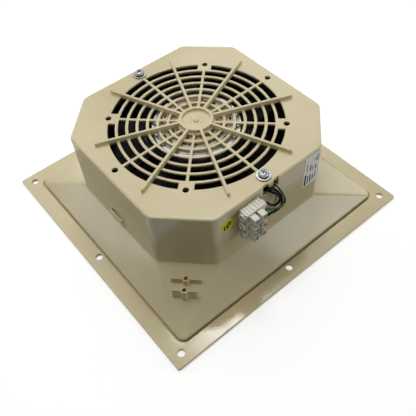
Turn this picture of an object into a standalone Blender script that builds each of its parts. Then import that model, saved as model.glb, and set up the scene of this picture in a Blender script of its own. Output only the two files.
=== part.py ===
"""Cabinet filter fan, modelled as separate pieces that seat in one another.

It lies on its front: the flange and the louvred cover face down, the fan head points up (+Z).
The origin is the middle of the flange's front face. The fan's long axis and the terminal
block's side lie along Y, and all sizes are real ones in metres.
"""
import math

import bmesh
import bpy
from mathutils import Matrix, Vector

MM = 0.001
DIAGONAL = math.sqrt(2)
HALF_CORNER = math.tan(math.radians(22.5))

# Clearances that all pieces share
GAP = 0.3 * MM
OVERRUN = 1.0 * MM
SINK = 0.15 * MM
MERGE = 0.0015 * MM
SLOT_SAG = 0.22 * MM

# Housing: flange, sloped neck and eight-sided head
NECK_REACH = 21.7 * MM
FLANGE_REACH = 15.5 * MM
FLANGE_THICK = 3 * MM
FLANGE_CORNER_R = 2 * MM
FLANGE_HOLE_R = 3.05 * MM
FLANGE_HOLE_INSET = 9.9 * MM
FOOT_RISE = 2 * MM
FOOT_CORNER_R = 6 * MM
NECK_TOP = 31 * MM
FAN_CLEAR = 0.6 * MM
HEAD_CUT = 34.8 * MM
HEAD_EDGE_R = 9 * MM
HEAD_TOP = 90 * MM
HEAD_TOP_R = 1.6 * MM
WALL = 2.7 * MM
PLATE_THICK = 3 * MM

# Fan grille in the head
SLOT_RINGS = 7
SLOT_OVER_BORE = 0.1 * MM
BAND_WIDTH = 2.7 * MM
SPOKES = 8
SPOKE_WIDTH = 2.5 * MM
RIB_THICK = 2.2 * MM
RIB_HEIGHT = 3.2 * MM
RIB_END_INSET = 4.3 * MM
HUB_R = 14.4 * MM
HUB_MARGIN = 1.7 * MM
HUB_RECESS_R = 11.6 * MM
HUB_RECESS_DEPTH = 2 * MM
NUB_R = 2.5 * MM
NUB_HEIGHT = 1 * MM
LUG_WIDTH = 12.4 * MM
SPARE_HOLE_R = 2.5 * MM
SQUARE_PITCH = 105 * MM

# Lead notch in the head's wall
NOTCH_LEFT = 8.3 * MM
NOTCH_RIGHT = 7.8 * MM
NOTCH_DEPTH = 9.5 * MM
NOTCH_RECESS = 1.2 * MM
TONGUE_HALF = 2.7 * MM
TONGUE_DROP = 6 * MM

# Lead clamp ribs on the near corner of the neck: distance out from the head, half length
CLAMP_TOP_DROP = 0.5 * MM
CLAMP_RIB_THICK = 2 * MM
CLAMP_BOSS_R = 3.1 * MM
CLAMP_HOLE_R = 1.75 * MM
CLAMP_HOLE_DEPTH = 9 * MM
UPPER_CLAMP_OUT = 13.1 * MM
UPPER_CLAMP_HALF = 12.4 * MM
LOWER_CLAMP_OUT = 23.7 * MM
LOWER_CLAMP_HALF = 9.7 * MM

# Catch windows low on the head's two side walls
CATCH_LENGTH = 17 * MM
CATCH_PROUD = 1.3 * MM
CATCH_HEIGHT = 10.6 * MM
CATCH_SLOT_TOP = 9.4 * MM
CATCH_SLOT_FLOOR = 5.2 * MM
CATCH_SLOT_END = 1.4 * MM
CATCH_SLOT_SUNK = 0.9 * MM

# Bars that hold the filter mat down
BAR_WIDTH = 2.4 * MM
BAR_HEIGHT = 6 * MM
BAR_OFFSET = 33 * MM

# Front cover with its louvres
COVER_GAP = 0.7 * MM
COVER_RECESS = 0.3 * MM
COVER_THICK = 2.4 * MM
COVER_CORNER_R = 3 * MM
WINDOW_INSET = 5 * MM
WINDOW_WALL = 2 * MM
LOUVRE_HEIGHT = 6.9 * MM
LOUVRES = 16
LOUVRE_THICK = 1.8 * MM
LOUVRE_RUN = 7.2 * MM
MULLIONS = 3
MULLION_WIDTH = 2 * MM
RIM_CLEAR = 0.64 * MM
RIM_CUT = 15 * MM
RIM_THICK = 2 * MM
RIM_HEIGHT = 12 * MM
NIB_OFFSET = 60 * MM
NIB_LENGTH = 10 * MM
NIB_PROUD = 2.5 * MM
NIB_HEIGHT = 2.5 * MM
NIB_BASE = 5.5 * MM
GRIP_WIDTH = 24 * MM
GRIP_DEPTH = 3 * MM

# Cover hinge
BEAD_R = 3 * MM
BRACKET_INSET = 15.6 * MM
BRACKET_THICK = 4 * MM
BRACKET_GAP = 1 * MM
BRACKET_CLEAR = 0.45 * MM
BEAD_INSET = 5.6 * MM
HINGE_CORNER = 3.3 * MM
PIN_R = 1.25 * MM
PIN_LENGTH = 16 * MM

# Filter mat
MAT_CLEAR = 2.05 * MM
MAT_CUT = 18 * MM
MAT_THICK = 10 * MM
MAT_CORNER_R = 4 * MM

# Axial fan
FAN_DEPTH = 51 * MM
FAN_BORE_R = 73.5 * MM
FAN_SIDE = 1.5 * MM
FAN_SCREW_OUT = 7.5 * MM
FAN_END = 5 * MM
FAN_SHELL = 2.5 * MM
FAN_FLANGE = 4 * MM
FAN_HOLE_R = 2.3 * MM
STRUTS = 4
STRUT_WIDTH = 8 * MM
STRUT_DEPTH = 5 * MM
MOTOR_PLATE_THICK = 3 * MM
MOTOR_CAP_INSET = 6.7 * MM
MOTOR_CAP_THICK = 0.5 * MM
MOTOR_CAP_RIM = 3.2 * MM
MOTOR_CAP_RIM_HEIGHT = 0.3 * MM
BEARING_TUBE_WALL = 2.5 * MM
BEARING_TUBE_CLEAR = 1.3 * MM
BEARING_R = 11 * MM
BEARING_WIDTH = 7 * MM
SHAFT_R = 4 * MM
ROTOR_R = 44 * MM
ROTOR_WALL = 2.2 * MM
ROTOR_LENGTH = 37.5 * MM
ROTOR_GAP = 3 * MM
ROTOR_COLLAR_R = 8 * MM
ROTOR_COLLAR_HEIGHT = 4 * MM
AIR_GAP = 0.5 * MM
CORE_HEIGHT = 15 * MM
WINDING_HEIGHT = 5 * MM
WINDING_CLEAR = 4.2 * MM
WINDING_INSET = 5.3 * MM
WINDING_EDGE = 1.6 * MM
BLADES = 5
HUB_BAND = 1.8 * MM
HUB_BAND_HEIGHT = 32 * MM
BLADE_THICK = 1.8 * MM
BLADE_HEIGHT = 27 * MM
BLADE_CAMBER = 3 * MM
TIP_GAP = 1.2 * MM
BLADE_WRAP = math.radians(58)
BLADE_SWEEP = math.radians(12)
GROMMET_R = 5 * MM
GROMMET_FLANGE_R = 6.2 * MM
GROMMET_REACH = 2.4 * MM
GROMMET_DROP = 13 * MM
LEAD_FLAT_HALF = 9 * MM
LEAD_FLAT_DEPTH = 1.4 * MM

# Fan screws and washers
SCREW_R = 2 * MM
SCREW_HEAD_R = 4.1 * MM
SCREW_HEAD_HEIGHT = 2.9 * MM
SCREW_HEAD_EDGE = 1.1 * MM
SCREW_DOME_R = 2.95 * MM
SCREW_DOME_DROP = 0.4 * MM
WASHER_R = 6 * MM
WASHER_THICK = 1 * MM

# Terminal block on the near wall
POLES = 3
POLE_PITCH = 10.2 * MM
BLOCK_LEFT = -32.7 * MM
BLOCK_WIDTH = 18.3 * MM
BLOCK_DROP = 5.3 * MM
BLOCK_DEPTH = 9 * MM
POLE_HEIGHT = 9 * MM
WEB_DEPTH = 5 * MM
WEB_SIDE = 4 * MM
TURRET_REACH = 15.5 * MM
TURRET_WIDTH = 5.4 * MM
TURRET_HEIGHT = 6.2 * MM
TURRET_GAP = 1.9 * MM
TURRET_LEFT = 2.1 * MM
TURRET_BORE_R = 2 * MM
COLLAR_R = 3.6 * MM
COLLAR_LENGTH = 2 * MM
COLLAR_DEPTH = 5 * MM
WIRE_BORE_R = 1.9 * MM
SLEEVE_R = 1.6 * MM
CLAMP_SCREW_R = 1.6 * MM
CLAMP_SCREW_LENGTH = 5 * MM
CLAMP_SCREW_SUNK = 1.8 * MM
BLOCK_SCREW_R = 1.3 * MM
BLOCK_SCREW_HEAD_R = 2.3 * MM
BLOCK_SCREW_HEAD = 1.4 * MM
BLOCK_SCREW_LENGTH = 10 * MM

# Leads
WIRE_R = 1 * MM
WIRE_END_GAP = 0.4 * MM

# Segments round a full circle, by size of piece
FINE = 48
ROUND = 24
SMALL = 12

FAN_HALF_WIDTH = FAN_BORE_R + FAN_SIDE
SCREW_REACH = FAN_BORE_R + FAN_SCREW_OUT
FAN_HALF_LENGTH = SCREW_REACH + FAN_END
HEAD_HALF = FAN_HALF_LENGTH + FAN_CLEAR + WALL
FOOT_HALF = HEAD_HALF + NECK_REACH
FOOT_TOP = FLANGE_THICK + FOOT_RISE
PLATE_UNDER = HEAD_TOP - PLATE_THICK
MOUTH_HALF = FOOT_HALF - WALL
FLANGE_HALF = FOOT_HALF + FLANGE_REACH
FAN_TOP = PLATE_UNDER - GAP
FAN_BOTTOM = FAN_TOP - FAN_DEPTH
SLOT_OUTER_R = FAN_BORE_R + SLOT_OVER_BORE
SLOT_WIDTH = (SLOT_OUTER_R - HUB_R - HUB_MARGIN - (SLOT_RINGS - 1) * BAND_WIDTH) / SLOT_RINGS
RIB_END_R = HEAD_HALF - RIB_END_INSET
COVER_HALF = MOUTH_HALF - COVER_GAP
COVER_TOP = COVER_RECESS + COVER_THICK
LOUVRE_TOP = COVER_RECESS + LOUVRE_HEIGHT
PIVOT_Z = COVER_RECESS + BEAD_R
PIVOT_Y = COVER_HALF - BEAD_R
MAT_BASE = LOUVRE_TOP + GAP
MAT_TOP = MAT_BASE + MAT_THICK
BEAD_END = COVER_HALF - BEAD_INSET
BRACKET_OFFSET = COVER_HALF - BRACKET_INSET
MOTOR_PLATE_R = ROTOR_R
MOTOR_CAP_R = MOTOR_PLATE_R - MOTOR_CAP_INSET
MOTOR_PLATE_TOP = FAN_TOP - MOTOR_CAP_THICK - MOTOR_CAP_RIM_HEIGHT - GAP
MOTOR_PLATE_BASE = MOTOR_PLATE_TOP - MOTOR_PLATE_THICK
TUBE_R = BEARING_R + GAP + BEARING_TUBE_WALL
ROTOR_TOP = MOTOR_PLATE_BASE - ROTOR_GAP
ROTOR_BASE = ROTOR_TOP - ROTOR_LENGTH
ROTOR_FLOOR = ROTOR_BASE + ROTOR_WALL
ROTOR_COLLAR_TOP = ROTOR_FLOOR + ROTOR_COLLAR_HEIGHT
TUBE_BASE = ROTOR_COLLAR_TOP + BEARING_TUBE_CLEAR
CORE_R = ROTOR_R - ROTOR_WALL - AIR_GAP
WINDING_INNER_R = TUBE_R + WINDING_CLEAR
WINDING_OUTER_R = CORE_R - WINDING_INSET
CORE_BASE = ROTOR_TOP - ROTOR_LENGTH / 2 - CORE_HEIGHT / 2 + ROTOR_WALL
HUB_BAND_R = ROTOR_R + GAP + HUB_BAND
WALL_Y = -HEAD_HALF - GAP
BLOCK_TOP = HEAD_TOP - BLOCK_DROP
BLOCK_RIGHT = BLOCK_LEFT + BLOCK_WIDTH


def neck_room(height):
    """Half the clear width inside the neck at a height on its slope."""
    run, rise = FOOT_HALF - HEAD_HALF, NECK_TOP - FOOT_TOP
    return MOUTH_HALF - run * (height - FOOT_TOP) / rise - WALL * (math.hypot(run, rise) - rise) / rise


RIM_HALF = neck_room(RIM_HEIGHT) - RIM_CLEAR
MAT_HALF = neck_room(MAT_TOP) - MAT_CLEAR
WINDOW_HALF = MAT_HALF - WINDOW_INSET

PARTS = "cabinet_filter_fan"
CUTTERS = "cutters"


def clear_scene():
    for obj in list(bpy.data.objects):
        bpy.data.objects.remove(obj, do_unlink=True)
    for name in (PARTS, CUTTERS):
        bpy.context.scene.collection.children.link(bpy.data.collections.new(name))


def material(name, colour, roughness, metallic=0.0, transmission=0.0):
    mat = bpy.data.materials.new(name)
    mat.use_nodes = True
    shader = mat.node_tree.nodes["Principled BSDF"]
    shader.inputs["Base Color"].default_value = (*colour, 1)
    shader.inputs["Roughness"].default_value = roughness
    shader.inputs["Metallic"].default_value = metallic
    shader.inputs["Transmission Weight"].default_value = transmission
    return mat


def link(name, mesh, collection=CUTTERS):
    obj = bpy.data.objects.new(name, mesh)
    bpy.data.collections[collection].objects.link(obj)
    if collection == CUTTERS:
        obj.hide_render = True
        obj.display_type = "WIRE"
    return obj


def from_bmesh(name, bm):
    bmesh.ops.recalc_face_normals(bm, faces=bm.faces)
    mesh = bpy.data.meshes.new(name)
    bm.to_mesh(mesh)
    bm.free()
    return link(name, mesh)


def evaluated(obj):
    """A plain mesh object that takes the place of one with modifiers, or of a curve."""
    bpy.context.view_layer.update()
    graph = bpy.context.evaluated_depsgraph_get()
    mesh = bpy.data.meshes.new_from_object(obj.evaluated_get(graph))
    bm = bmesh.new()
    bm.from_mesh(mesh)
    bmesh.ops.remove_doubles(bm, verts=bm.verts, dist=MERGE)
    bm.to_mesh(mesh)
    bm.free()
    plain = link(obj.name, mesh)
    plain.matrix_world = obj.matrix_world.copy()
    bpy.data.objects.remove(obj, do_unlink=True)
    return plain


def boolean(target, tools, operation):
    """Joins tools to target, or cuts them from it, one after the other."""
    for tool in tools:
        step = target.modifiers.new(operation.lower(), "BOOLEAN")
        step.operation = operation
        step.solver = "EXACT"
        step.object = tool
    target = evaluated(target)
    for tool in tools:
        bpy.data.objects.remove(tool, do_unlink=True)
    return target


def join(target, *tools):
    return boolean(target, tools, "UNION")


def cut(target, *tools):
    return boolean(target, tools, "DIFFERENCE")


def finish(obj, name, mat, pivot=(0, 0, 0)):
    """Names a finished piece, gives it its material and puts its origin on its pivot."""
    bpy.data.collections[CUTTERS].objects.unlink(obj)
    bpy.data.collections[PARTS].objects.link(obj)
    obj.name = name
    obj.hide_render = False
    obj.display_type = "TEXTURED"
    obj.data.materials.clear()
    obj.data.materials.append(mat)
    obj.data.transform(Matrix.Translation(-Vector(pivot)))
    obj.location = pivot
    obj.data.shade_smooth()
    obj.data.set_sharp_from_angle(angle=math.radians(30))
    return obj


def box(name, low, high):
    bm = bmesh.new()
    bmesh.ops.create_cube(bm, size=1)
    size = [b - a for a, b in zip(low, high)]
    middle = [(a + b) / 2 for a, b in zip(low, high)]
    bmesh.ops.transform(bm, matrix=Matrix.LocRotScale(middle, None, size), verts=bm.verts)
    return from_bmesh(name, bm)


def cylinder(name, radius, start, end, steps=SMALL):
    """A round bar from start to end."""
    start, end = Vector(start), Vector(end)
    run = end - start
    bm = bmesh.new()
    bmesh.ops.create_cone(bm, cap_ends=True, segments=steps, radius1=radius, radius2=radius, depth=run.length)
    turn = run.to_track_quat("Z", "Y")
    bmesh.ops.transform(bm, matrix=Matrix.LocRotScale((start + end) / 2, turn, None), verts=bm.verts)
    return from_bmesh(name, bm)


def circle(radius, x=0.0, y=0.0, steps=SMALL):
    turns = (2 * math.pi * i / steps for i in range(steps))
    return [(x + radius * math.cos(a), y + radius * math.sin(a)) for a in turns]


def octagon(half, cut_back, radius, steps=4):
    """A square of the given half width with its corners cut back and every corner rounded."""
    near = half - radius
    far = half - cut_back - radius * HALF_CORNER
    points = []
    for quarter in range(4):
        turn = Matrix.Rotation(quarter * math.pi / 2, 2)
        for centre, start in (((near, far), 0), ((far, near), math.pi / 4)):
            for i in range(steps + 1):
                a = start + math.pi / 4 * i / steps
                points.append(turn @ (Vector(centre) + radius * Vector((math.cos(a), math.sin(a)))))
    return [tuple(p) for p in points]


def round_square(half, radius, steps=4):
    return octagon(half, radius * (2 - DIAGONAL), radius, steps)


def plate(name, outlines, low, high, plane="XY"):
    """Flat outlines with any holes inside them, as a slab. In plane XZ, low and high are along Y."""
    curve = bpy.data.curves.new(name, "CURVE")
    curve.dimensions = "2D"
    curve.fill_mode = "BOTH"
    curve.extrude = (high - low) / 2
    for outline in outlines:
        spline = curve.splines.new("POLY")
        spline.points.add(len(outline) - 1)
        spline.use_cyclic_u = True
        for point, (x, y) in zip(spline.points, outline):
            point.co = (x, y, 0, 1)
    obj = link(name, curve)
    if plane == "XY":
        obj.matrix_world = Matrix.Translation((0, 0, (low + high) / 2))
    else:
        stand = Matrix.Rotation(math.pi / 2, 4, "X")
        obj.matrix_world = Matrix.Translation((0, (low + high) / 2, 0)) @ stand
    obj = evaluated(obj)
    obj.data.transform(obj.matrix_world)
    obj.matrix_world = Matrix.Identity(4)
    bm = bmesh.new()
    bm.from_mesh(obj.data)
    bmesh.ops.recalc_face_normals(bm, faces=bm.faces)
    bmesh.ops.dissolve_limit(bm, angle_limit=math.radians(1), verts=bm.verts, edges=bm.edges)
    bm.to_mesh(obj.data)
    bm.free()
    return obj


def loft(name, rings):
    """A closed body through rings of the same number of points, each (outline, height)."""
    bm = bmesh.new()
    rows = [[bm.verts.new((x, y, z)) for x, y in outline] for outline, z in rings]
    for low, high in zip(rows, rows[1:]):
        for i in range(len(low)):
            j = (i + 1) % len(low)
            bm.faces.new((low[i], low[j], high[j], high[i]))
    bm.faces.new(rows[0])
    bm.faces.new(rows[-1])
    return from_bmesh(name, bm)


def turned(name, profile, steps=ROUND, place=(0, 0, 0), axis=(0, 0, 1)):
    """A body of revolution. The profile runs down its outer side, in (radius, height) pairs."""
    bm = bmesh.new()
    verts = [bm.verts.new((r, 0, z)) for r, z in profile]
    for a, b in zip(verts, verts[1:]):
        bm.edges.new((a, b))
    if profile[0][0] > 0:
        bm.edges.new((verts[-1], verts[0]))
    mesh = bpy.data.meshes.new(name)
    bm.to_mesh(mesh)
    bm.free()
    obj = link(name, mesh)
    screw = obj.modifiers.new("turn", "SCREW")
    screw.steps = steps
    screw.render_steps = steps
    screw.use_merge_vertices = True
    screw.merge_threshold = MERGE
    obj = evaluated(obj)
    turn = Vector(axis).to_track_quat("Z", "Y")
    obj.data.transform(Matrix.LocRotScale(place, turn, None))
    bm = bmesh.new()
    bm.from_mesh(obj.data)
    bmesh.ops.recalc_face_normals(bm, faces=bm.faces)
    bm.to_mesh(obj.data)
    bm.free()
    return obj


def shell_rings(inset, low, high):
    """The neck and head as rings for a loft, moved inwards by inset, from height low to high."""
    run = FOOT_HALF - HEAD_HALF
    rise = NECK_TOP - FOOT_TOP
    knee = inset * (math.hypot(run, rise) - rise) / run
    foot = round_square(FOOT_HALF - inset, FOOT_CORNER_R - inset)
    head = octagon(HEAD_HALF - inset, HEAD_CUT - inset * (2 - DIAGONAL), HEAD_EDGE_R - inset)
    return [(foot, low), (foot, FOOT_TOP - knee), (head, NECK_TOP - knee), (head, high)]


def slot_outline(start, end, start_half, end_half, inner, outer):
    """One grille slot between two spokes, whose half widths are taken off its ends."""
    points = []
    for radius, forward in ((inner, True), (outer, False)):
        a = start + math.asin(start_half / radius)
        b = end - math.asin(end_half / radius)
        steps = math.ceil((b - a) / math.sqrt(8 * SLOT_SAG / radius))
        arc = [a + (b - a) * i / steps for i in range(steps + 1)]
        if not forward:
            arc.reverse()
        points += [(radius * math.cos(t), radius * math.sin(t)) for t in arc]
    return points


def slot_outlines():
    """All slots: rings of arcs between flush spokes and raised ribs, with lugs at the diagonals."""
    outlines = []
    sector = math.pi / SPOKES
    for ring in range(SLOT_RINGS):
        outer = SLOT_OUTER_R - ring * (SLOT_WIDTH + BAND_WIDTH)
        for k in range(2 * SPOKES):
            halves = []
            for bar in (k, k + 1):
                half = RIB_THICK / 2 if bar % 2 else SPOKE_WIDTH / 2
                if ring == 0 and bar % 4 == 2:
                    half = LUG_WIDTH / 2
                halves.append(half)
            outlines.append(slot_outline(k * sector, (k + 1) * sector, *halves, outer - SLOT_WIDTH, outer))
    return outlines


def stadium(inner, outer, half, angle, steps=4):
    """A bar along a radius, square at its inner end and round at its outer one."""
    cap = [math.pi / 2 * (1 - 2 * i / (2 * steps)) for i in range(2 * steps + 1)]
    points = [(inner, half)] + [(outer - half + half * math.cos(a), half * math.sin(a)) for a in cap]
    points.append((inner, -half))
    turn = Matrix.Rotation(angle, 2)
    return [tuple(turn @ Vector(p)) for p in points]


def notch_outline(top):
    """The lead notch seen from the side: two gaps with a round-ended tongue between them."""
    floor = HEAD_TOP - NOTCH_DEPTH
    tip = HEAD_TOP - TONGUE_DROP + TONGUE_HALF
    arc = [math.pi * i / 6 for i in range(7)]
    tongue = [(TONGUE_HALF * math.cos(a), tip - TONGUE_HALF * math.sin(a)) for a in arc]
    sides = [(-NOTCH_LEFT, top), (-NOTCH_LEFT, floor), (NOTCH_RIGHT, floor), (NOTCH_RIGHT, top)]
    return sides + [(TONGUE_HALF, top)] + tongue + [(-TONGUE_HALF, top)]


def lead_clamp(out, half, turn):
    """A rib with a screw boss on the near corner of the neck, nearly as tall as the neck."""
    top = NECK_TOP - CLAMP_TOP_DROP
    reach = HEAD_HALF * DIAGONAL - HEAD_CUT / DIAGONAL + out
    slope = (NECK_TOP - FOOT_TOP) / ((FOOT_HALF - HEAD_HALF) * DIAGONAL + HEAD_CUT / DIAGONAL)
    facet = NECK_TOP - out * slope
    base = facet - WALL / 2 - CLAMP_BOSS_R * slope
    rib = box("rib", (reach - CLAMP_RIB_THICK / 2, -half, base), (reach + CLAMP_RIB_THICK / 2, half, top))
    boss = cylinder("boss", CLAMP_BOSS_R, (reach, 0, base - SINK), (reach, 0, top + SINK), SMALL)
    clamp = join(rib, boss)
    floor = top - CLAMP_HOLE_DEPTH
    hole = cylinder("hole", CLAMP_HOLE_R, (reach, 0, floor), (reach, 0, top + OVERRUN), SMALL)
    for obj in (clamp, hole):
        obj.data.transform(Matrix.Rotation(turn, 4, "Z"))
    return clamp, hole


def catch(side):
    """The small hooded catch low on a side wall, and the cutter of its slot."""
    face = side * HEAD_HALF
    front = side * (HEAD_HALF + CATCH_PROUD)
    low = NECK_TOP - WALL / 2
    half = CATCH_LENGTH / 2
    lip = side * (HEAD_HALF + CATCH_PROUD / 2)
    xs = sorted((face - side * WALL / 2, front))
    body = box("catch", (xs[0], -half, low), (xs[1], half, NECK_TOP + CATCH_HEIGHT))
    xs = sorted((face - side * CATCH_SLOT_SUNK, front + side * OVERRUN))
    inner = half - CATCH_SLOT_END
    floor = NECK_TOP + CATCH_SLOT_FLOOR
    slot = box("slot", (xs[0], -inner, floor), (xs[1], inner, NECK_TOP + CATCH_SLOT_TOP))
    xs = sorted((lip, front + side * OVERRUN))
    step = box("step", (xs[0], -half - OVERRUN, low - OVERRUN), (xs[1], half + OVERRUN, floor))
    return body, slot, step


def mat_bars():
    """Crossed bars that keep the mat off the fan, trimmed to the middle of the neck's wall."""
    bars = []
    for side in (-1, 1):
        low, high = side * BAR_OFFSET - BAR_WIDTH / 2, side * BAR_OFFSET + BAR_WIDTH / 2
        base = MAT_TOP + GAP
        bars.append(box("bar", (-FOOT_HALF, low, base), (FOOT_HALF, high, base + BAR_HEIGHT)))
        bars.append(box("bar", (low, -FOOT_HALF, base + SINK), (high, FOOT_HALF, base + BAR_HEIGHT - SINK)))
    grid = join(bars[0], *bars[1:])
    trim = loft("trim", shell_rings(WALL / 2, 0, PLATE_UNDER))
    return boolean(grid, [trim], "INTERSECT")


def hinge_bracket(side):
    """An ear on the mouth's wall that carries a hinge pin."""
    x = side * BRACKET_OFFSET
    half = BRACKET_THICK / 2
    ear = cylinder("ear", BEAD_R, (x - half, PIVOT_Y, PIVOT_Z), (x + half, PIVOT_Y, PIVOT_Z))
    low = (x - half + SINK, PIVOT_Y, PIVOT_Z - BEAD_R + SINK)
    high = (x + half - SINK, MOUTH_HALF + WALL / 2, PIVOT_Z + BEAD_R - SINK)
    return join(ear, box("arm", low, high))


def make_housing(mat):
    reach = FLANGE_HALF - FLANGE_HOLE_INSET
    holes = [(x, y) for x in (-reach, 0, reach) for y in (-reach, 0, reach) if x or y]
    outlines = [round_square(FLANGE_HALF, FLANGE_CORNER_R)]
    outlines += [circle(FLANGE_HOLE_R, x, y, ROUND) for x, y in holes]
    flange = plate("flange", outlines, 0, FLANGE_THICK)
    rings = shell_rings(0, FLANGE_THICK / 2, HEAD_TOP - HEAD_TOP_R)
    for i in (1, 2):
        a = math.pi / 4 * i
        inset = HEAD_TOP_R * (1 - math.cos(a))
        head = octagon(HEAD_HALF - inset, HEAD_CUT - inset * (2 - DIAGONAL), HEAD_EDGE_R - inset)
        rings.append((head, HEAD_TOP - HEAD_TOP_R * (1 - math.sin(a))))
    housing = join(loft("housing", rings), flange)
    housing = cut(housing, loft("cavity", shell_rings(WALL, -OVERRUN, PLATE_UNDER)))
    slots = plate("slots", slot_outlines(), PLATE_UNDER - OVERRUN, HEAD_TOP + OVERRUN)
    housing = cut(housing, slots)
    rib_low, rib_high = HEAD_TOP - PLATE_THICK / 2, HEAD_TOP + RIB_HEIGHT
    turns = [math.pi / SPOKES * (2 * k + 1) for k in range(SPOKES)]
    outlines = [stadium(HUB_R - BAND_WIDTH, RIB_END_R, RIB_THICK / 2, a) for a in turns]
    ribs = plate("ribs", outlines, rib_low, rib_high)
    floor = rib_high - HUB_RECESS_DEPTH
    nub = floor + NUB_HEIGHT
    profile = [(0, nub), (NUB_R, nub), (NUB_R, floor), (HUB_RECESS_R, floor), (HUB_RECESS_R, rib_high + SINK)]
    profile += [(HUB_R, rib_high + SINK), (HUB_R, rib_low - SINK), (0, rib_low - SINK)]
    housing = join(housing, turned("hub", profile, 5 * SPOKES), ribs)
    spare = SQUARE_PITCH / 2
    spots = [(x, y) for x in (-spare, spare) for y in (-spare, spare)] + [(-SCREW_REACH, 0), (SCREW_REACH, 0)]
    outlines = [circle(SPARE_HOLE_R, x, y) for x, y in spots]
    outlines += [circle(FAN_HOLE_R, 0, y) for y in (-SCREW_REACH, SCREW_REACH)]
    drills = plate("drills", outlines, PLATE_UNDER - OVERRUN, HEAD_TOP + OVERRUN)
    wall_low, wall_high = -HEAD_HALF - OVERRUN, -HEAD_HALF + WALL + OVERRUN
    through = plate("through", [notch_outline(PLATE_UNDER)], wall_low, wall_high, "XZ")
    recess = plate("recess", [notch_outline(HEAD_TOP + OVERRUN)], wall_low, -HEAD_HALF + NOTCH_RECESS, "XZ")
    housing = cut(housing, drills, through, recess)
    near_corner = math.radians(225)
    clamps = [lead_clamp(UPPER_CLAMP_OUT, UPPER_CLAMP_HALF, near_corner)]
    clamps.append(lead_clamp(LOWER_CLAMP_OUT, LOWER_CLAMP_HALF, near_corner))
    catches = [catch(side) for side in (-1, 1)]
    housing = join(housing, *[c[0] for c in clamps], *[c[0] for c in catches], mat_bars())
    housing = cut(housing, *[c[1] for c in clamps], *[c[1] for c in catches], *[c[2] for c in catches])
    housing = join(housing, hinge_bracket(-1), hinge_bracket(1))
    reach = BRACKET_OFFSET + BRACKET_THICK
    bore = cylinder("bore", PIN_R + GAP, (-reach, PIVOT_Y, PIVOT_Z), (reach, PIVOT_Y, PIVOT_Z))
    x, z = BLOCK_LEFT + BLOCK_WIDTH / 2, block_screw_height()
    inside = -HEAD_HALF + WALL + OVERRUN
    pilot = cylinder("pilot", BLOCK_SCREW_R + GAP, (x, WALL_Y - OVERRUN, z), (x, inside, z))
    housing = cut(housing, bore, pilot)
    return finish(housing, "housing", mat)


def block_screw_height():
    return BLOCK_TOP - POLE_HEIGHT / 2 - POLE_PITCH / 2


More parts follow.
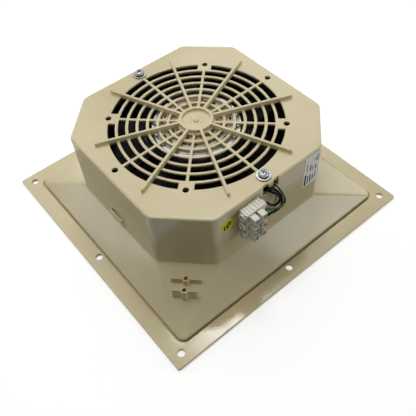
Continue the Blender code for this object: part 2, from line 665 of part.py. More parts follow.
def make_cover(mat):
    outline = round_square(COVER_HALF, COVER_CORNER_R)
    window = [(-WINDOW_HALF, -WINDOW_HALF), (WINDOW_HALF, -WINDOW_HALF), (WINDOW_HALF, WINDOW_HALF)]
    window.append((-WINDOW_HALF, WINDOW_HALF))
    face = plate("face", [outline, window], COVER_RECESS, COVER_TOP)
    beyond = COVER_HALF + OVERRUN
    face = cut(face, box("hinge_edge", (-beyond, PIVOT_Y, 0), (beyond, beyond, RIM_HEIGHT)))
    inner, outer = WINDOW_HALF - SINK, WINDOW_HALF + WINDOW_WALL
    collar = [[(-s, -s), (s, -s), (s, s), (-s, s)] for s in (outer, inner)]
    frame = plate("frame", collar, COVER_RECESS + SINK, LOUVRE_TOP)
    rim_outer = octagon(RIM_HALF, RIM_CUT, RIM_THICK, 2)
    rim_inner = octagon(RIM_HALF - RIM_THICK, RIM_CUT - RIM_THICK * (2 - DIAGONAL), RIM_THICK / 2, 2)
    rim = plate("rim", [rim_outer, rim_inner], COVER_TOP - SINK * 2, RIM_HEIGHT)
    bead = cylinder("bead", BEAD_R, (-BEAD_END, PIVOT_Y, PIVOT_Z), (BEAD_END, PIVOT_Y, PIVOT_Z), 16)
    cover = join(face, frame, rim, bead)
    pitch = 2 * WINDOW_HALF / LOUVRES
    reach = WINDOW_HALF + WINDOW_WALL / 2
    low, high = COVER_RECESS + SINK * 2, LOUVRE_TOP - SINK
    blades = bmesh.new()
    for k in range(LOUVRES):
        y = -WINDOW_HALF + pitch * (k + 0.5) - LOUVRE_RUN / 2
        section = [(y, low), (y + LOUVRE_THICK, low)]
        section += [(y + LOUVRE_RUN, high), (y + LOUVRE_RUN - LOUVRE_THICK, high)]
        ends = [[blades.verts.new((x, py, pz)) for py, pz in section] for x in (-reach, reach)]
        for a, b in zip(range(4), (1, 2, 3, 0)):
            blades.faces.new((ends[0][a], ends[0][b], ends[1][b], ends[1][a]))
        for end in ends:
            blades.faces.new(end)
    posts = []
    for k in range(MULLIONS):
        x = -WINDOW_HALF + 2 * WINDOW_HALF * (k + 1) / (MULLIONS + 1)
        low_end = (x - MULLION_WIDTH / 2, -reach, COVER_RECESS + SINK * 3)
        posts.append(box("mullion", low_end, (x + MULLION_WIDTH / 2, reach, LOUVRE_TOP - SINK / 2)))
    cover = join(cover, from_bmesh("louvres", blades), *posts)
    nibs = []
    for side in (-1, 1):
        x = side * NIB_OFFSET
        low_end = (x - NIB_LENGTH / 2, -RIM_HALF - NIB_PROUD, NIB_BASE)
        high_end = (x + NIB_LENGTH / 2, -RIM_HALF + RIM_THICK / 2, NIB_BASE + NIB_HEIGHT)
        nibs.append(box("nib", low_end, high_end))
    cover = join(cover, *nibs)
    cuts = []
    for side in (-1, 1):
        x = side * BRACKET_OFFSET
        half = BRACKET_THICK / 2 + BRACKET_GAP
        low_end = (x - half, PIVOT_Y - BEAD_R - BRACKET_CLEAR, -OVERRUN)
        cuts.append(box("bracket_gap", low_end, (x + half, COVER_HALF + OVERRUN, RIM_HEIGHT)))
        start, end = x - PIN_LENGTH / 2 - GAP, x + PIN_LENGTH / 2 + GAP
        cuts.append(cylinder("pin_bore", PIN_R + GAP, (start, PIVOT_Y, PIVOT_Z), (end, PIVOT_Y, PIVOT_Z)))
        xs = sorted((side * (COVER_HALF - HINGE_CORNER), side * (COVER_HALF + OVERRUN)))
        low_end = (xs[0], PIVOT_Y - BEAD_R - OVERRUN, -OVERRUN)
        cuts.append(box("hinge_corner", low_end, (xs[1], beyond, RIM_HEIGHT)))
    low_end = (-GRIP_WIDTH / 2, -COVER_HALF - OVERRUN, -OVERRUN)
    cuts.append(box("grip", low_end, (GRIP_WIDTH / 2, -COVER_HALF + GRIP_DEPTH, RIM_HEIGHT)))
    return finish(cut(cover, *cuts), "front_cover", mat, (0, PIVOT_Y, PIVOT_Z))


def make_hinge_pins(mat):
    for side, name in ((-1, "hinge_pin_left"), (1, "hinge_pin_right")):
        x = side * BRACKET_OFFSET
        start, end = (x - PIN_LENGTH / 2, PIVOT_Y, PIVOT_Z), (x + PIN_LENGTH / 2, PIVOT_Y, PIVOT_Z)
        finish(cylinder(name, PIN_R, start, end), name, mat)


def make_filter_mat(mat):
    outline = octagon(MAT_HALF, MAT_CUT, MAT_CORNER_R, 2)
    finish(plate("filter_mat", [outline], MAT_BASE, MAT_TOP), "filter_mat", mat)


def fan_outline():
    """The fan's flange seen from above: a round plate with two flat sides."""
    flat = math.acos(FAN_HALF_WIDTH / FAN_HALF_LENGTH)
    steps = 12
    points = []
    for start in (flat, math.pi + flat):
        span = math.pi - 2 * flat
        angles = [start + span * i / steps for i in range(steps + 1)]
        points += [(FAN_HALF_LENGTH * math.cos(a), FAN_HALF_LENGTH * math.sin(a)) for a in angles]
    return points


def make_fan_frame(mat):
    holes = [circle(FAN_HOLE_R, 0, y) for y in (-SCREW_REACH, SCREW_REACH)]
    bore = circle(FAN_BORE_R, steps=FINE)
    upper = plate("upper", [fan_outline(), bore, *holes], FAN_TOP - FAN_FLANGE, FAN_TOP)
    lower = plate("lower", [fan_outline(), bore, *holes], FAN_BOTTOM, FAN_BOTTOM + FAN_FLANGE)
    outer = FAN_BORE_R + FAN_SHELL
    inner = FAN_BORE_R + SINK
    tube = [circle(outer, steps=FINE), circle(inner, steps=FINE)]
    frame = join(upper, plate("tube", tube, FAN_BOTTOM + FAN_FLANGE / 2, FAN_TOP - FAN_FLANGE / 2), lower)
    profile = [(TUBE_R - BEARING_TUBE_WALL, MOTOR_PLATE_TOP), (MOTOR_PLATE_R, MOTOR_PLATE_TOP)]
    profile += [(MOTOR_PLATE_R, MOTOR_PLATE_BASE), (TUBE_R, MOTOR_PLATE_BASE), (TUBE_R, TUBE_BASE)]
    profile.append((TUBE_R - BEARING_TUBE_WALL, TUBE_BASE))
    motor_plate = turned("motor_plate", profile, ROUND)
    struts = []
    for k in range(STRUTS):
        low = (MOTOR_PLATE_R - STRUT_WIDTH / 2, -STRUT_WIDTH / 2, MOTOR_PLATE_TOP - STRUT_DEPTH)
        high = (FAN_BORE_R + FAN_SHELL / 2, STRUT_WIDTH / 2, MOTOR_PLATE_TOP - SINK)
        strut = box("strut", low, high)
        strut.data.transform(Matrix.Rotation(2 * math.pi * k / STRUTS, 4, "Z"))
        struts.append(strut)
    frame = join(frame, motor_plate, *struts)
    low = (-LEAD_FLAT_HALF, -FAN_HALF_LENGTH - OVERRUN, FAN_TOP - FAN_FLANGE - OVERRUN)
    lead_flat = box("lead_flat", low, (LEAD_FLAT_HALF, LEAD_FLAT_DEPTH - FAN_HALF_LENGTH, FAN_TOP + OVERRUN))
    height = FAN_TOP - GROMMET_DROP
    start, end = (0, -FAN_BORE_R + OVERRUN, height), (0, -outer - OVERRUN, height)
    hole = cylinder("lead_hole", GROMMET_R + GAP, start, end)
    return finish(cut(frame, lead_flat, hole), "fan_frame", mat)


def make_motor_cap(mat):
    low = MOTOR_PLATE_TOP + GAP
    high = low + MOTOR_CAP_THICK
    rim = high + MOTOR_CAP_RIM_HEIGHT
    inner = MOTOR_CAP_R - MOTOR_CAP_RIM
    profile = [(0, high), (inner, high), (inner, rim), (MOTOR_CAP_R, rim), (MOTOR_CAP_R, low), (0, low)]
    finish(turned("motor_cap", profile, FINE), "motor_cap", mat)


def make_motor(steel, copper, shaft_steel):
    high = CORE_BASE + CORE_HEIGHT
    profile = [(TUBE_R + GAP, high), (CORE_R, high), (CORE_R, CORE_BASE), (TUBE_R + GAP, CORE_BASE)]
    finish(turned("stator_core", profile), "stator_core", steel)
    lowest, highest = CORE_BASE - GAP - WINDING_HEIGHT, CORE_BASE + CORE_HEIGHT + GAP
    for name, low in (("winding_lower", lowest), ("winding_upper", highest)):
        high = low + WINDING_HEIGHT
        edge = WINDING_EDGE
        inner, outer = WINDING_INNER_R, WINDING_OUTER_R
        profile = [(inner + edge, high), (outer - edge, high), (outer, high - edge), (outer, low + edge)]
        profile += [(outer - edge, low), (inner + edge, low), (inner, low + edge), (inner, high - edge)]
        finish(turned(name, profile), name, copper)
    first = TUBE_BASE + GAP
    last = MOTOR_PLATE_TOP - GAP - BEARING_WIDTH
    for name, low in (("bearing_lower", first), ("bearing_upper", last)):
        high = low + BEARING_WIDTH
        profile = [(SHAFT_R + GAP, high), (BEARING_R, high), (BEARING_R, low), (SHAFT_R + GAP, low)]
        finish(turned(name, profile), name, shaft_steel)


def make_rotor(steel, shaft_steel):
    inner = ROTOR_R - ROTOR_WALL
    profile = [(inner, ROTOR_TOP), (ROTOR_R, ROTOR_TOP), (ROTOR_R, ROTOR_FLOOR), (inner, ROTOR_BASE)]
    profile += [(SHAFT_R + GAP, ROTOR_BASE), (SHAFT_R + GAP, ROTOR_COLLAR_TOP)]
    profile += [(ROTOR_COLLAR_R, ROTOR_COLLAR_TOP), (ROTOR_COLLAR_R, ROTOR_FLOOR), (inner, ROTOR_FLOOR)]
    finish(turned("rotor_cup", profile, ROUND), "rotor_cup", steel)
    top = MOTOR_PLATE_TOP - GAP
    profile = [(0, top), (SHAFT_R, top), (SHAFT_R, ROTOR_BASE), (0, ROTOR_BASE)]
    finish(turned("shaft", profile, ROUND), "shaft", shaft_steel)


def make_blade(turn):
    """One twisted, swept blade from the hub band to near the bore."""
    across, along = 3, 6
    inner, outer = HUB_BAND_R - HUB_BAND / 2, FAN_BORE_R - TIP_GAP
    middle = ROTOR_FLOOR + HUB_BAND_HEIGHT / 2
    bm = bmesh.new()
    rows = []
    for i in range(across + 1):
        share = i / across
        radius = inner + (outer - inner) * share
        row = []
        for j in range(along + 1):
            part = j / along - 0.5
            angle = turn + BLADE_WRAP * part + BLADE_SWEEP * share
            height = middle - BLADE_HEIGHT * part + BLADE_CAMBER * (1 - 4 * part * part)
            row.append(bm.verts.new((radius * math.cos(angle), radius * math.sin(angle), height)))
        rows.append(row)
    for a, b in zip(rows, rows[1:]):
        for j in range(along):
            bm.faces.new((a[j], a[j + 1], b[j + 1], b[j]))
    blade = from_bmesh("blade", bm)
    skin = blade.modifiers.new("thickness", "SOLIDIFY")
    skin.thickness = BLADE_THICK
    skin.offset = 0
    return evaluated(blade)


def make_impeller(mat):
    low = ROTOR_FLOOR
    high = low + HUB_BAND_HEIGHT
    inner = ROTOR_R + GAP
    profile = [(inner, high), (HUB_BAND_R, high), (HUB_BAND_R, low), (inner, low)]
    band = turned("band", profile, 8 * BLADES)
    blades = [make_blade(2 * math.pi * k / BLADES) for k in range(BLADES)]
    finish(join(band, *blades), "impeller", mat)


def make_grommet(mat):
    height = FAN_TOP - GROMMET_DROP
    outer = FAN_BORE_R + FAN_SHELL
    inside = FAN_BORE_R - GAP
    flange = outer + GAP
    profile = [(0, GROMMET_REACH), (GROMMET_FLANGE_R, GROMMET_REACH), (GROMMET_FLANGE_R, 0), (GROMMET_R, 0)]
    profile += [(GROMMET_R, inside - flange), (0, inside - flange)]
    grommet = turned("lead_grommet", profile, ROUND, (0, -flange, height), (0, -1, 0))
    finish(grommet, "lead_grommet", mat)


def make_fan_screws(mat, washer_mat):
    for side, word in ((-1, "near"), (1, "far")):
        y = side * SCREW_REACH
        low = HEAD_TOP + GAP
        high = low + WASHER_THICK
        profile = [(SCREW_R + GAP, high), (WASHER_R, high), (WASHER_R, low), (SCREW_R + GAP, low)]
        finish(turned("washer", profile, ROUND, (0, y, 0)), "washer_" + word, washer_mat)
        under = high + GAP
        top = under + SCREW_HEAD_HEIGHT
        shoulder = under + SCREW_HEAD_EDGE
        tip = FAN_TOP - FAN_FLANGE
        profile = [(0, top), (SCREW_DOME_R, top - SCREW_DOME_DROP), (SCREW_HEAD_R, shoulder)]
        profile += [(SCREW_HEAD_R, under), (SCREW_R, under), (SCREW_R, tip), (0, tip)]
        finish(turned("screw", profile, ROUND, (0, y, 0)), "fan_screw_" + word, mat)


def pole_heights():
    return [BLOCK_TOP - POLE_HEIGHT / 2 - k * POLE_PITCH for k in range(POLES)]


def turret_middles():
    first = BLOCK_LEFT + TURRET_LEFT + TURRET_WIDTH / 2
    return [first, first + TURRET_WIDTH + TURRET_GAP]


def make_terminal_block(mat):
    half_pole = POLE_HEIGHT / 2
    web_low = pole_heights()[-1]
    low = (BLOCK_LEFT + WEB_SIDE, WALL_Y - WEB_DEPTH, web_low)
    block = box("web", low, (BLOCK_RIGHT - WEB_SIDE, WALL_Y - SINK, pole_heights()[0]))
    bodies, drills = [], []
    for height in pole_heights():
        low = (BLOCK_LEFT, WALL_Y - BLOCK_DEPTH, height - half_pole)
        bodies.append(box("pole", low, (BLOCK_RIGHT, WALL_Y, height + half_pole)))
        depth = WALL_Y - COLLAR_DEPTH
        for x, out in ((BLOCK_LEFT, -COLLAR_LENGTH), (BLOCK_RIGHT, COLLAR_LENGTH)):
            bodies.append(cylinder("collar", COLLAR_R, (x - out, depth, height), (x + out, depth, height)))
        low, high = BLOCK_LEFT - COLLAR_LENGTH - OVERRUN, BLOCK_RIGHT + COLLAR_LENGTH + OVERRUN
        drills.append(cylinder("wire_bore", WIRE_BORE_R, (low, depth, height), (high, depth, height)))
        for x in turret_middles():
            low = (x - TURRET_WIDTH / 2, WALL_Y - TURRET_REACH, height - TURRET_HEIGHT / 2)
            high = (x + TURRET_WIDTH / 2, WALL_Y - BLOCK_DEPTH + SINK, height + TURRET_HEIGHT / 2)
            bodies.append(box("turret", low, high))
            start, end = (x, WALL_Y - TURRET_REACH - OVERRUN, height), (x, depth, height)
            drills.append(cylinder("screw_bore", TURRET_BORE_R, start, end))
    x = BLOCK_LEFT + BLOCK_WIDTH / 2
    height = block_screw_height()
    start, seat = (x, WALL_Y - BLOCK_DEPTH - OVERRUN, height), (x, WALL_Y - WEB_DEPTH, height)
    drills.append(cylinder("head_bore", BLOCK_SCREW_HEAD_R + GAP, start, seat))
    drills.append(cylinder("fixing_bore", BLOCK_SCREW_R + GAP, start, (x, WALL_Y + OVERRUN, height)))
    block = cut(join(block, *bodies), *drills)
    return finish(block, "terminal_block", mat)


def make_terminal_hardware(brass, steel):
    depth = WALL_Y - COLLAR_DEPTH
    left, right = turret_middles()
    for k, height in enumerate(pole_heights()):
        sides = (left - TURRET_WIDTH / 2, right + TURRET_WIDTH / 2)
        sleeve = cylinder("sleeve", SLEEVE_R, (sides[0], depth, height), (sides[1], depth, height))
        finish(sleeve, "terminal_sleeve_%d" % (k + 1), brass)
        for x, word in ((left, "left"), (right, "right")):
            outer = WALL_Y - TURRET_REACH + CLAMP_SCREW_SUNK
            inner = min(outer + CLAMP_SCREW_LENGTH, depth - SLEEVE_R - GAP)
            screw = cylinder("screw", CLAMP_SCREW_R, (x, outer, height), (x, inner, height))
            finish(screw, "clamp_screw_%s_%d" % (word, k + 1), steel)
    x = BLOCK_LEFT + BLOCK_WIDTH / 2
    height = block_screw_height()
    face = WALL_Y - WEB_DEPTH - GAP
    tip = face + BLOCK_SCREW_LENGTH
    profile = [(0, BLOCK_SCREW_HEAD), (BLOCK_SCREW_HEAD_R, BLOCK_SCREW_HEAD), (BLOCK_SCREW_HEAD_R, 0)]
    profile += [(BLOCK_SCREW_R, 0), (BLOCK_SCREW_R, face - tip), (0, face - tip)]
    finish(turned("block_screw", profile, SMALL, (x, face, height), (0, -1, 0)), "block_screw", steel)


def wire_points(route, pole, count):
    """Points on a smooth curve through the route's own points and on to its pole's mouth."""
    knots = [Vector((x * MM, -HEAD_HALF - out * MM, HEAD_TOP - down * MM)) for x, out, down in route]
    mouth = BLOCK_RIGHT + COLLAR_LENGTH + WIRE_END_GAP
    knots.append(Vector((mouth, WALL_Y - COLLAR_DEPTH, pole_heights()[pole])))
    knots = [2 * knots[0] - knots[1]] + knots + [2 * knots[-1] - knots[-2]]
    spans = len(knots) - 3
    points = []
    for i in range(count + 1):
        place = spans * i / count
        k = min(int(place), spans - 1)
        t = place - k
        a, b, c, d = knots[k:k + 4]
        curve = (2 * a - 5 * b + 4 * c - d) * t ** 2 + (3 * b - a - 3 * c + d) * t ** 3
        points.append((2 * b + (c - a) * t + curve) / 2)
    return points


def make_wire(name, route, pole, mat):
    points = wire_points(route, pole, 2 * len(route))
    curve = bpy.data.curves.new(name, "CURVE")
    curve.dimensions = "3D"
    curve.bevel_depth = WIRE_R
    curve.bevel_resolution = 2
    curve.use_fill_caps = True
    spline = curve.splines.new("POLY")
    spline.points.add(len(points) - 1)
    for knot, point in zip(spline.points, points):
        knot.co = (*point, 1)
    curve.materials.append(mat)
    return link(name, curve, PARTS)


# Lead routes in millimetres, from the grommet through the notch to the terminal block:
# across, out from the wall's outer face, down from the head's top
BLACK_ROUTE_1 = [
    (0.2, -9.9, 18.6), (-0.5, -8.9, 17.1), (-1.9, -7.0, 14.1), (-3.8, -4.5, 9.4), (-4.1, -2.3, 7.4),
    (-3.8, -0.3, 6.7), (-3.1, 1.5, 6.9), (-1.5, 3.3, 8.0), (1.2, 4.4, 10.8), (4.5, 4.6, 15.9),
    (5.2, 5.5, 19.4), (4.0, 5.8, 21.9), (1.5, 5.6, 23.0), (-1.5, 5.0, 22.3), (-4.9, 4.9, 18.5),
    (-9.0, 5.3, 12.5),
]
BLACK_ROUTE_2 = [
    (-2.5, -9.9, 15.0), (-3.4, -8.9, 13.8), (-5.1, -7.0, 11.6), (-6.5, -4.0, 8.9), (-7.0, -2.0, 6.4),
    (-6.2, -0.3, 5.0), (-4.3, 1.0, 4.4), (-1.4, 1.8, 5.1), (2.7, 2.5, 9.3), (7.5, 2.8, 17.9),
    (9.9, 3.2, 25.5), (10.1, 3.3, 31.0), (7.6, 3.5, 34.5), (3.4, 3.5, 35.0), (-2.5, 4.0, 32.3),
    (-7.7, 5.3, 30.0),
]
EARTH_ROUTE = [
    (2.5, -9.9, 15.0), (2.8, -9.0, 13.8), (3.4, -7.1, 11.4), (3.3, -4.2, 8.9), (3.8, -2.4, 7.3),
    (4.4, -0.8, 6.6), (4.9, 0.9, 6.9), (5.3, 2.5, 8.0), (6.1, 3.9, 10.3), (8.3, 4.9, 15.9),
    (10.1, 5.9, 22.1), (9.7, 6.4, 26.6), (6.5, 6.3, 28.9), (1.7, 5.7, 28.1), (-3.2, 5.2, 25.6),
    (-8.3, 5.3, 21.3),
]


def main():
    clear_scene()
    beige = material("pebble_grey_plastic", (0.55, 0.48, 0.33), 0.35)
    black = material("black_coated_metal", (0.012, 0.012, 0.013), 0.4)
    bare = material("bare_aluminium", (0.8, 0.8, 0.8), 0.3, 1.0)
    steel = material("zinc_plated_steel", (0.75, 0.76, 0.78), 0.28, 1.0)
    dark_steel = material("rotor_steel", (0.2, 0.2, 0.21), 0.45, 1.0)
    copper = material("copper_winding", (0.72, 0.32, 0.16), 0.4, 1.0)
    brass = material("brass", (0.78, 0.6, 0.25), 0.35, 1.0)
    natural = material("natural_plastic", (0.82, 0.8, 0.74), 0.3, 0.0, 0.3)
    fleece = material("filter_fleece", (0.85, 0.86, 0.86), 0.95)
    rubber = material("rubber", (0.03, 0.03, 0.03), 0.6)
    black_wire = material("black_insulation", (0.01, 0.01, 0.011), 0.3)
    earth_wire = material("green_yellow_insulation", (0.02, 0.2, 0.08), 0.3)
    make_housing(beige)
    make_cover(beige)
    make_hinge_pins(steel)
    make_filter_mat(fleece)
    make_fan_frame(black)
    make_motor_cap(bare)
    make_motor(dark_steel, copper, steel)
    make_rotor(dark_steel, steel)
    make_impeller(black)
    make_grommet(rubber)
    make_fan_screws(steel, steel)
    make_terminal_block(natural)
    make_terminal_hardware(brass, steel)
    make_wire("lead_black_1", BLACK_ROUTE_1, 0, black_wire)
    make_wire("lead_black_2", BLACK_ROUTE_2, 2, black_wire)
    make_wire("lead_earth", EARTH_ROUTE, 1, earth_wire)


main()
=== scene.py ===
"""Dressed scene of the cabinet filter fan: camera, leads, rounded pieces, materials and light.

All shapes are written in millimetres in the CAD model's own frame. Lamps and the floor are in metres.
"""
from math import asin, atan2, ceil, cos, pi, radians, sin, sqrt, tan

import bmesh
import bpy
import numpy as np
from mathutils import Matrix, Vector
from mathutils.geometry import delaunay_2d_cdt


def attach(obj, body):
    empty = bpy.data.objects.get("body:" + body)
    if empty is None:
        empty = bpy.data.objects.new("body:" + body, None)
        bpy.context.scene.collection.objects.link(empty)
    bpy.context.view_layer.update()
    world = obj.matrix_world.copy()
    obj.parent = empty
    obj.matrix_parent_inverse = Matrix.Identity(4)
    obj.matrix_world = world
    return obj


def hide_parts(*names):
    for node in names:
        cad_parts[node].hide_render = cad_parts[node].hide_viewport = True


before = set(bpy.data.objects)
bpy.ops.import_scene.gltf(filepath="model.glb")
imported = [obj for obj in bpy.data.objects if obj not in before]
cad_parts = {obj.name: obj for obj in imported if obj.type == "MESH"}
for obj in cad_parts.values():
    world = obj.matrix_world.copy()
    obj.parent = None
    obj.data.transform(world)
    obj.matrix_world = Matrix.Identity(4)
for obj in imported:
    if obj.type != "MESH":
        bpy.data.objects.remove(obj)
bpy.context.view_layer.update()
MM = 0.001
DIAGONAL = sqrt(2)

# Sizes that the CAD source uses too
WALL, HEAD_TOP, PLATE_UNDER, NECK_TOP, FOOT_TOP, FLANGE_THICK = 2.7, 90, 87, 31, 5, 3
HEAD_HALF, HEAD_CUT, HEAD_EDGE_R, FOOT_HALF, FOOT_R = 89.3, 34.8, 9, 111, 6
FLANGE_HALF, HOLE_REACH, HOLE_R = 126.5, 116.6, 3.05
SCREW_REACH, SPARE, SCREW_HOLE_R, SPARE_HOLE_R = 81, 52.5, 2.3, 2.5
SLOT_RINGS, SLOT_OUTER_R, SLOT_PITCH, SLOT_WIDTH = 7, 73.6, 8.6, 5.9
RIB_HALF, SPOKE_HALF, LUG_HALF, RIB_HEIGHT, RIB_END_R = 1.1, 1.25, 6.2, 3.2, 85
WALL_Y = -HEAD_HALF - 0.3
POLES = (80.2, 70.0, 59.8)
BLOCK_LEFT, BLOCK_RIGHT = -32.7, -14.4
TURRETS = (-27.9, -20.6)
PIVOT = Vector((0, 104.6, 3.3))
COVER, WINDOW, LOUVRES = 107.6, 90, 16
MAT_HALF, MAT_CUT, MAT_LOW, MAT_HIGH = 94.8, 18, 7.5, 17.5


def new_object(name, data):
    obj = bpy.data.objects.new(name, data)
    bpy.context.scene.collection.objects.link(obj)
    return obj


def make_camera():
    """The photograph's view, solved from its edges and holes."""
    azimuth, elevation, roll = radians(-36.181), radians(52.092), radians(-4.484)
    photo_width, focal_pixels = 416, 544.724
    back = Vector((sin(azimuth) * cos(elevation), -cos(azimuth) * cos(elevation), sin(elevation)))
    right = Vector((cos(azimuth), sin(azimuth), 0))
    up = back.cross(right)
    right, up = cos(roll) * right + sin(roll) * up, -sin(roll) * right + cos(roll) * up
    data = bpy.data.cameras.new("camera")
    data.sensor_width = 36
    data.lens = focal_pixels / photo_width * data.sensor_width
    camera = new_object("camera", data)
    camera.matrix_world = Matrix.Translation(Vector((-193.81, -271.97, 400.67)) * MM) @ Matrix(
        (right, up, back)).transposed().to_4x4()
    bpy.context.scene.camera = camera


make_camera()


# Materials
def nodes_of(name):
    """A new material with its node tree and shader."""
    mat = bpy.data.materials.new(name)
    mat.use_nodes = True
    tree = mat.node_tree
    return mat, tree, tree.nodes["Principled BSDF"]


def add(tree, kind, **settings):
    """A new node. Each setting is one of its inputs or else, in lower case, one of its own fields."""
    node = tree.nodes.new("ShaderNode" + kind)
    for key, value in settings.items():
        if key in node.inputs:
            node.inputs[key].default_value = value
        else:
            setattr(node, key.lower(), value)
    return node


def wire(output, socket):
    socket.id_data.links.new(output, socket)


def combine(tree, operation, first, second):
    """The result of a math node."""
    node = add(tree, "Math", operation=operation)
    wire(first, node.inputs[0])
    wire(second, node.inputs[1])
    return node.outputs[0]


def position(tree):
    """The object's own coordinates, in millimetres."""
    scale = add(tree, "VectorMath", operation="SCALE", Scale=1 / MM)
    wire(add(tree, "TexCoord").outputs["Object"], scale.inputs[0])
    return scale.outputs[0]


def noise(tree, at, size, detail=3.0, stretch=None):
    """Even noise whose grains are size millimetres across, from about 0.3 to 0.7."""
    if stretch:
        turn = add(tree, "Mapping", Scale=stretch)
        wire(at, turn.inputs["Vector"])
        at = turn.outputs[0]
    node = add(tree, "TexNoise", Scale=1 / size, Detail=detail)
    wire(at, node.inputs["Vector"])
    return node.outputs["Fac"]


def spread(tree, value, low, high, start=0.3, end=0.7):
    """A value that runs from start to end, mapped to low to high."""
    node = add(tree, "MapRange", **{"From Min": start, "From Max": end, "To Min": low, "To Max": high})
    wire(value, node.inputs["Value"])
    return node.outputs[0]


def tint(tree, factor, first, second):
    """A mix of two colours, each of them numbers or a node's output."""
    node = add(tree, "Mix", data_type="RGBA")
    wire(factor, node.inputs[0])
    for socket, colour in ((node.inputs[6], first), (node.inputs[7], second)):
        if isinstance(colour, tuple):
            socket.default_value = (*colour, 1)
        else:
            wire(colour, socket)
    return node.outputs[2]


def relief(tree, shader, *layers):
    """Bump from (height, depth in millimetres) pairs."""
    normal = None
    for height, depth in layers:
        bump = add(tree, "Bump", Strength=1.0, Distance=depth * MM)
        wire(height, bump.inputs["Height"])
        if normal:
            wire(normal, bump.inputs["Normal"])
        normal = bump.outputs[0]
    wire(normal, shader.inputs["Normal"])


def adjusted(mat, **values):
    """The material with plain shader values set by name, where _ stands for a space."""
    for key, value in values.items():
        mat.node_tree.nodes["Principled BSDF"].inputs[key.replace("_", " ")].default_value = value
    return mat


def plastic(name, first, second, gloss=(0.3, 0.42), grain=0.5, depth=0.012):
    """Moulded plastic or film: faint clouds of tone, fine grain and smears in its gloss."""
    mat, tree, shader = nodes_of(name)
    at = position(tree)
    clouds = spread(tree, noise(tree, at, 28, 4), 0, 1)
    wire(tint(tree, clouds, first, second), shader.inputs["Base Color"])
    smears = noise(tree, at, 9, 5, (1, 0.35, 1))
    wire(spread(tree, smears, *gloss), shader.inputs["Roughness"])
    relief(tree, shader, (noise(tree, at, 14, 2), 0.05), (noise(tree, at, grain, 2), depth))
    return mat


def paper(name, first, second):
    return plastic(name, first, second, grain=1.2, depth=0.006)


def metal(name, first, second, gloss, grain=0.6, depth=0.01, metallic=1.0, size=4):
    """Plated or coated metal with clouds of tone and gloss."""
    mat, tree, shader = nodes_of(name)
    shader.inputs["Metallic"].default_value = metallic
    at = position(tree)
    wire(tint(tree, spread(tree, noise(tree, at, size, 5), 0, 1), first, second), shader.inputs["Base Color"])
    wire(spread(tree, noise(tree, at, size / 3, 4), *gloss), shader.inputs["Roughness"])
    relief(tree, shader, (noise(tree, at, grain, 2), depth))
    return mat


def ringed_metal(name, first, second, gloss, wave, smears, depth, metallic=1.0):
    """Fine rings round the Z axis: spun sheet, or wire wound side by side."""
    mat, tree, shader = nodes_of(name)
    shader.inputs["Metallic"].default_value = metallic
    at = position(tree)
    rings = add(tree, "TexWave", wave_type="RINGS", rings_direction="Z", Scale=wave[0],
                Distortion=wave[1])
    wire(at, rings.inputs["Vector"])
    wire(tint(tree, rings.outputs["Fac"], first, second), shader.inputs["Base Color"])
    wire(spread(tree, noise(tree, at, *smears), *gloss), shader.inputs["Roughness"])
    relief(tree, shader, (rings.outputs["Fac"], depth))
    return mat


def insulation(name, ground, other, stripe=None, shine=0.35):
    """Extruded sleeving; a stripe lies where the tube's own coordinate across it is near a half."""
    mat, tree, shader = nodes_of(name)
    at = position(tree)
    colour = tint(tree, spread(tree, noise(tree, at, 3, 3), 0, 1), ground, other)
    if stripe:
        split = add(tree, "SeparateXYZ")
        wire(add(tree, "UVMap").outputs[0], split.inputs[0])
        ramp = add(tree, "ValToRGB")
        marks = ramp.color_ramp.elements
        marks[0].position, marks[0].color = 0.36, (0, 0, 0, 1)
        marks[1].position, marks[1].color = 0.39, (1, 1, 1, 1)
        for spot, level in ((0.61, 1), (0.64, 0)):
            marks.new(spot).color = (level, level, level, 1)
        wire(split.outputs[0], ramp.inputs[0])
        colour = tint(tree, ramp.outputs[0], colour, stripe)
    wire(colour, shader.inputs["Base Color"])
    shader.inputs["Specular IOR Level"].default_value = shine
    wire(spread(tree, noise(tree, at, 1.5, 3), 0.26, 0.42), shader.inputs["Roughness"])
    relief(tree, shader, (noise(tree, at, 0.7, 2, (1, 1, 0.4)), 0.02))
    return mat


BEIGE = adjusted(plastic("pebble_grey_plastic", (0.622, 0.536, 0.312), (0.655, 0.567, 0.338), (0.09, 0.18)),
                 Specular_IOR_Level=0.42)
NATURAL = adjusted(plastic("natural_plastic", (0.60, 0.585, 0.49), (0.70, 0.685, 0.58), (0.16, 0.3), 0.8,
                           0.02),
                   Subsurface_Weight=0.35, Subsurface_Scale=0.0025, Subsurface_Radius=(1, 0.97, 0.88))
BLACK = adjusted(metal("black_coated_metal", (0.003, 0.003, 0.004), (0.008, 0.008, 0.009), (0.5, 0.65), 0.7,
                       0.02, 0.0, 12), Specular_IOR_Level=0.08)
RUBBER = plastic("rubber", (0.02, 0.02, 0.02), (0.032, 0.031, 0.03), (0.5, 0.65))
STEEL = metal("zinc_plated_steel", (0.19, 0.2, 0.2), (0.34, 0.345, 0.33), (0.2, 0.36))
DARK_STEEL = metal("rotor_steel", (0.16, 0.16, 0.17), (0.26, 0.25, 0.25), (0.35, 0.5))
BRASS = metal("plated_brass", (0.44, 0.41, 0.32), (0.56, 0.52, 0.41), (0.25, 0.4))
ALUMINIUM = ringed_metal("bare_aluminium", (0.31, 0.31, 0.30), (0.44, 0.44, 0.43), (0.28, 0.42), (1.1, 0.6),
                         (5, 4), 0.006)
COPPER = ringed_metal("copper_winding", (0.30, 0.09, 0.03), (0.62, 0.26, 0.1), (0.3, 0.5), (0.5, 1.5), (3,),
                      0.2, 0.8)
BLACK_WIRE = insulation("black_insulation", (0.001, 0.001, 0.0015), (0.003, 0.003, 0.004), shine=0.03)
EARTH_WIRE = insulation("earth_insulation", (0.0005, 0.07, 0.03), (0.001, 0.10, 0.045), (0.56, 0.54, 0.14),
                        0.12)


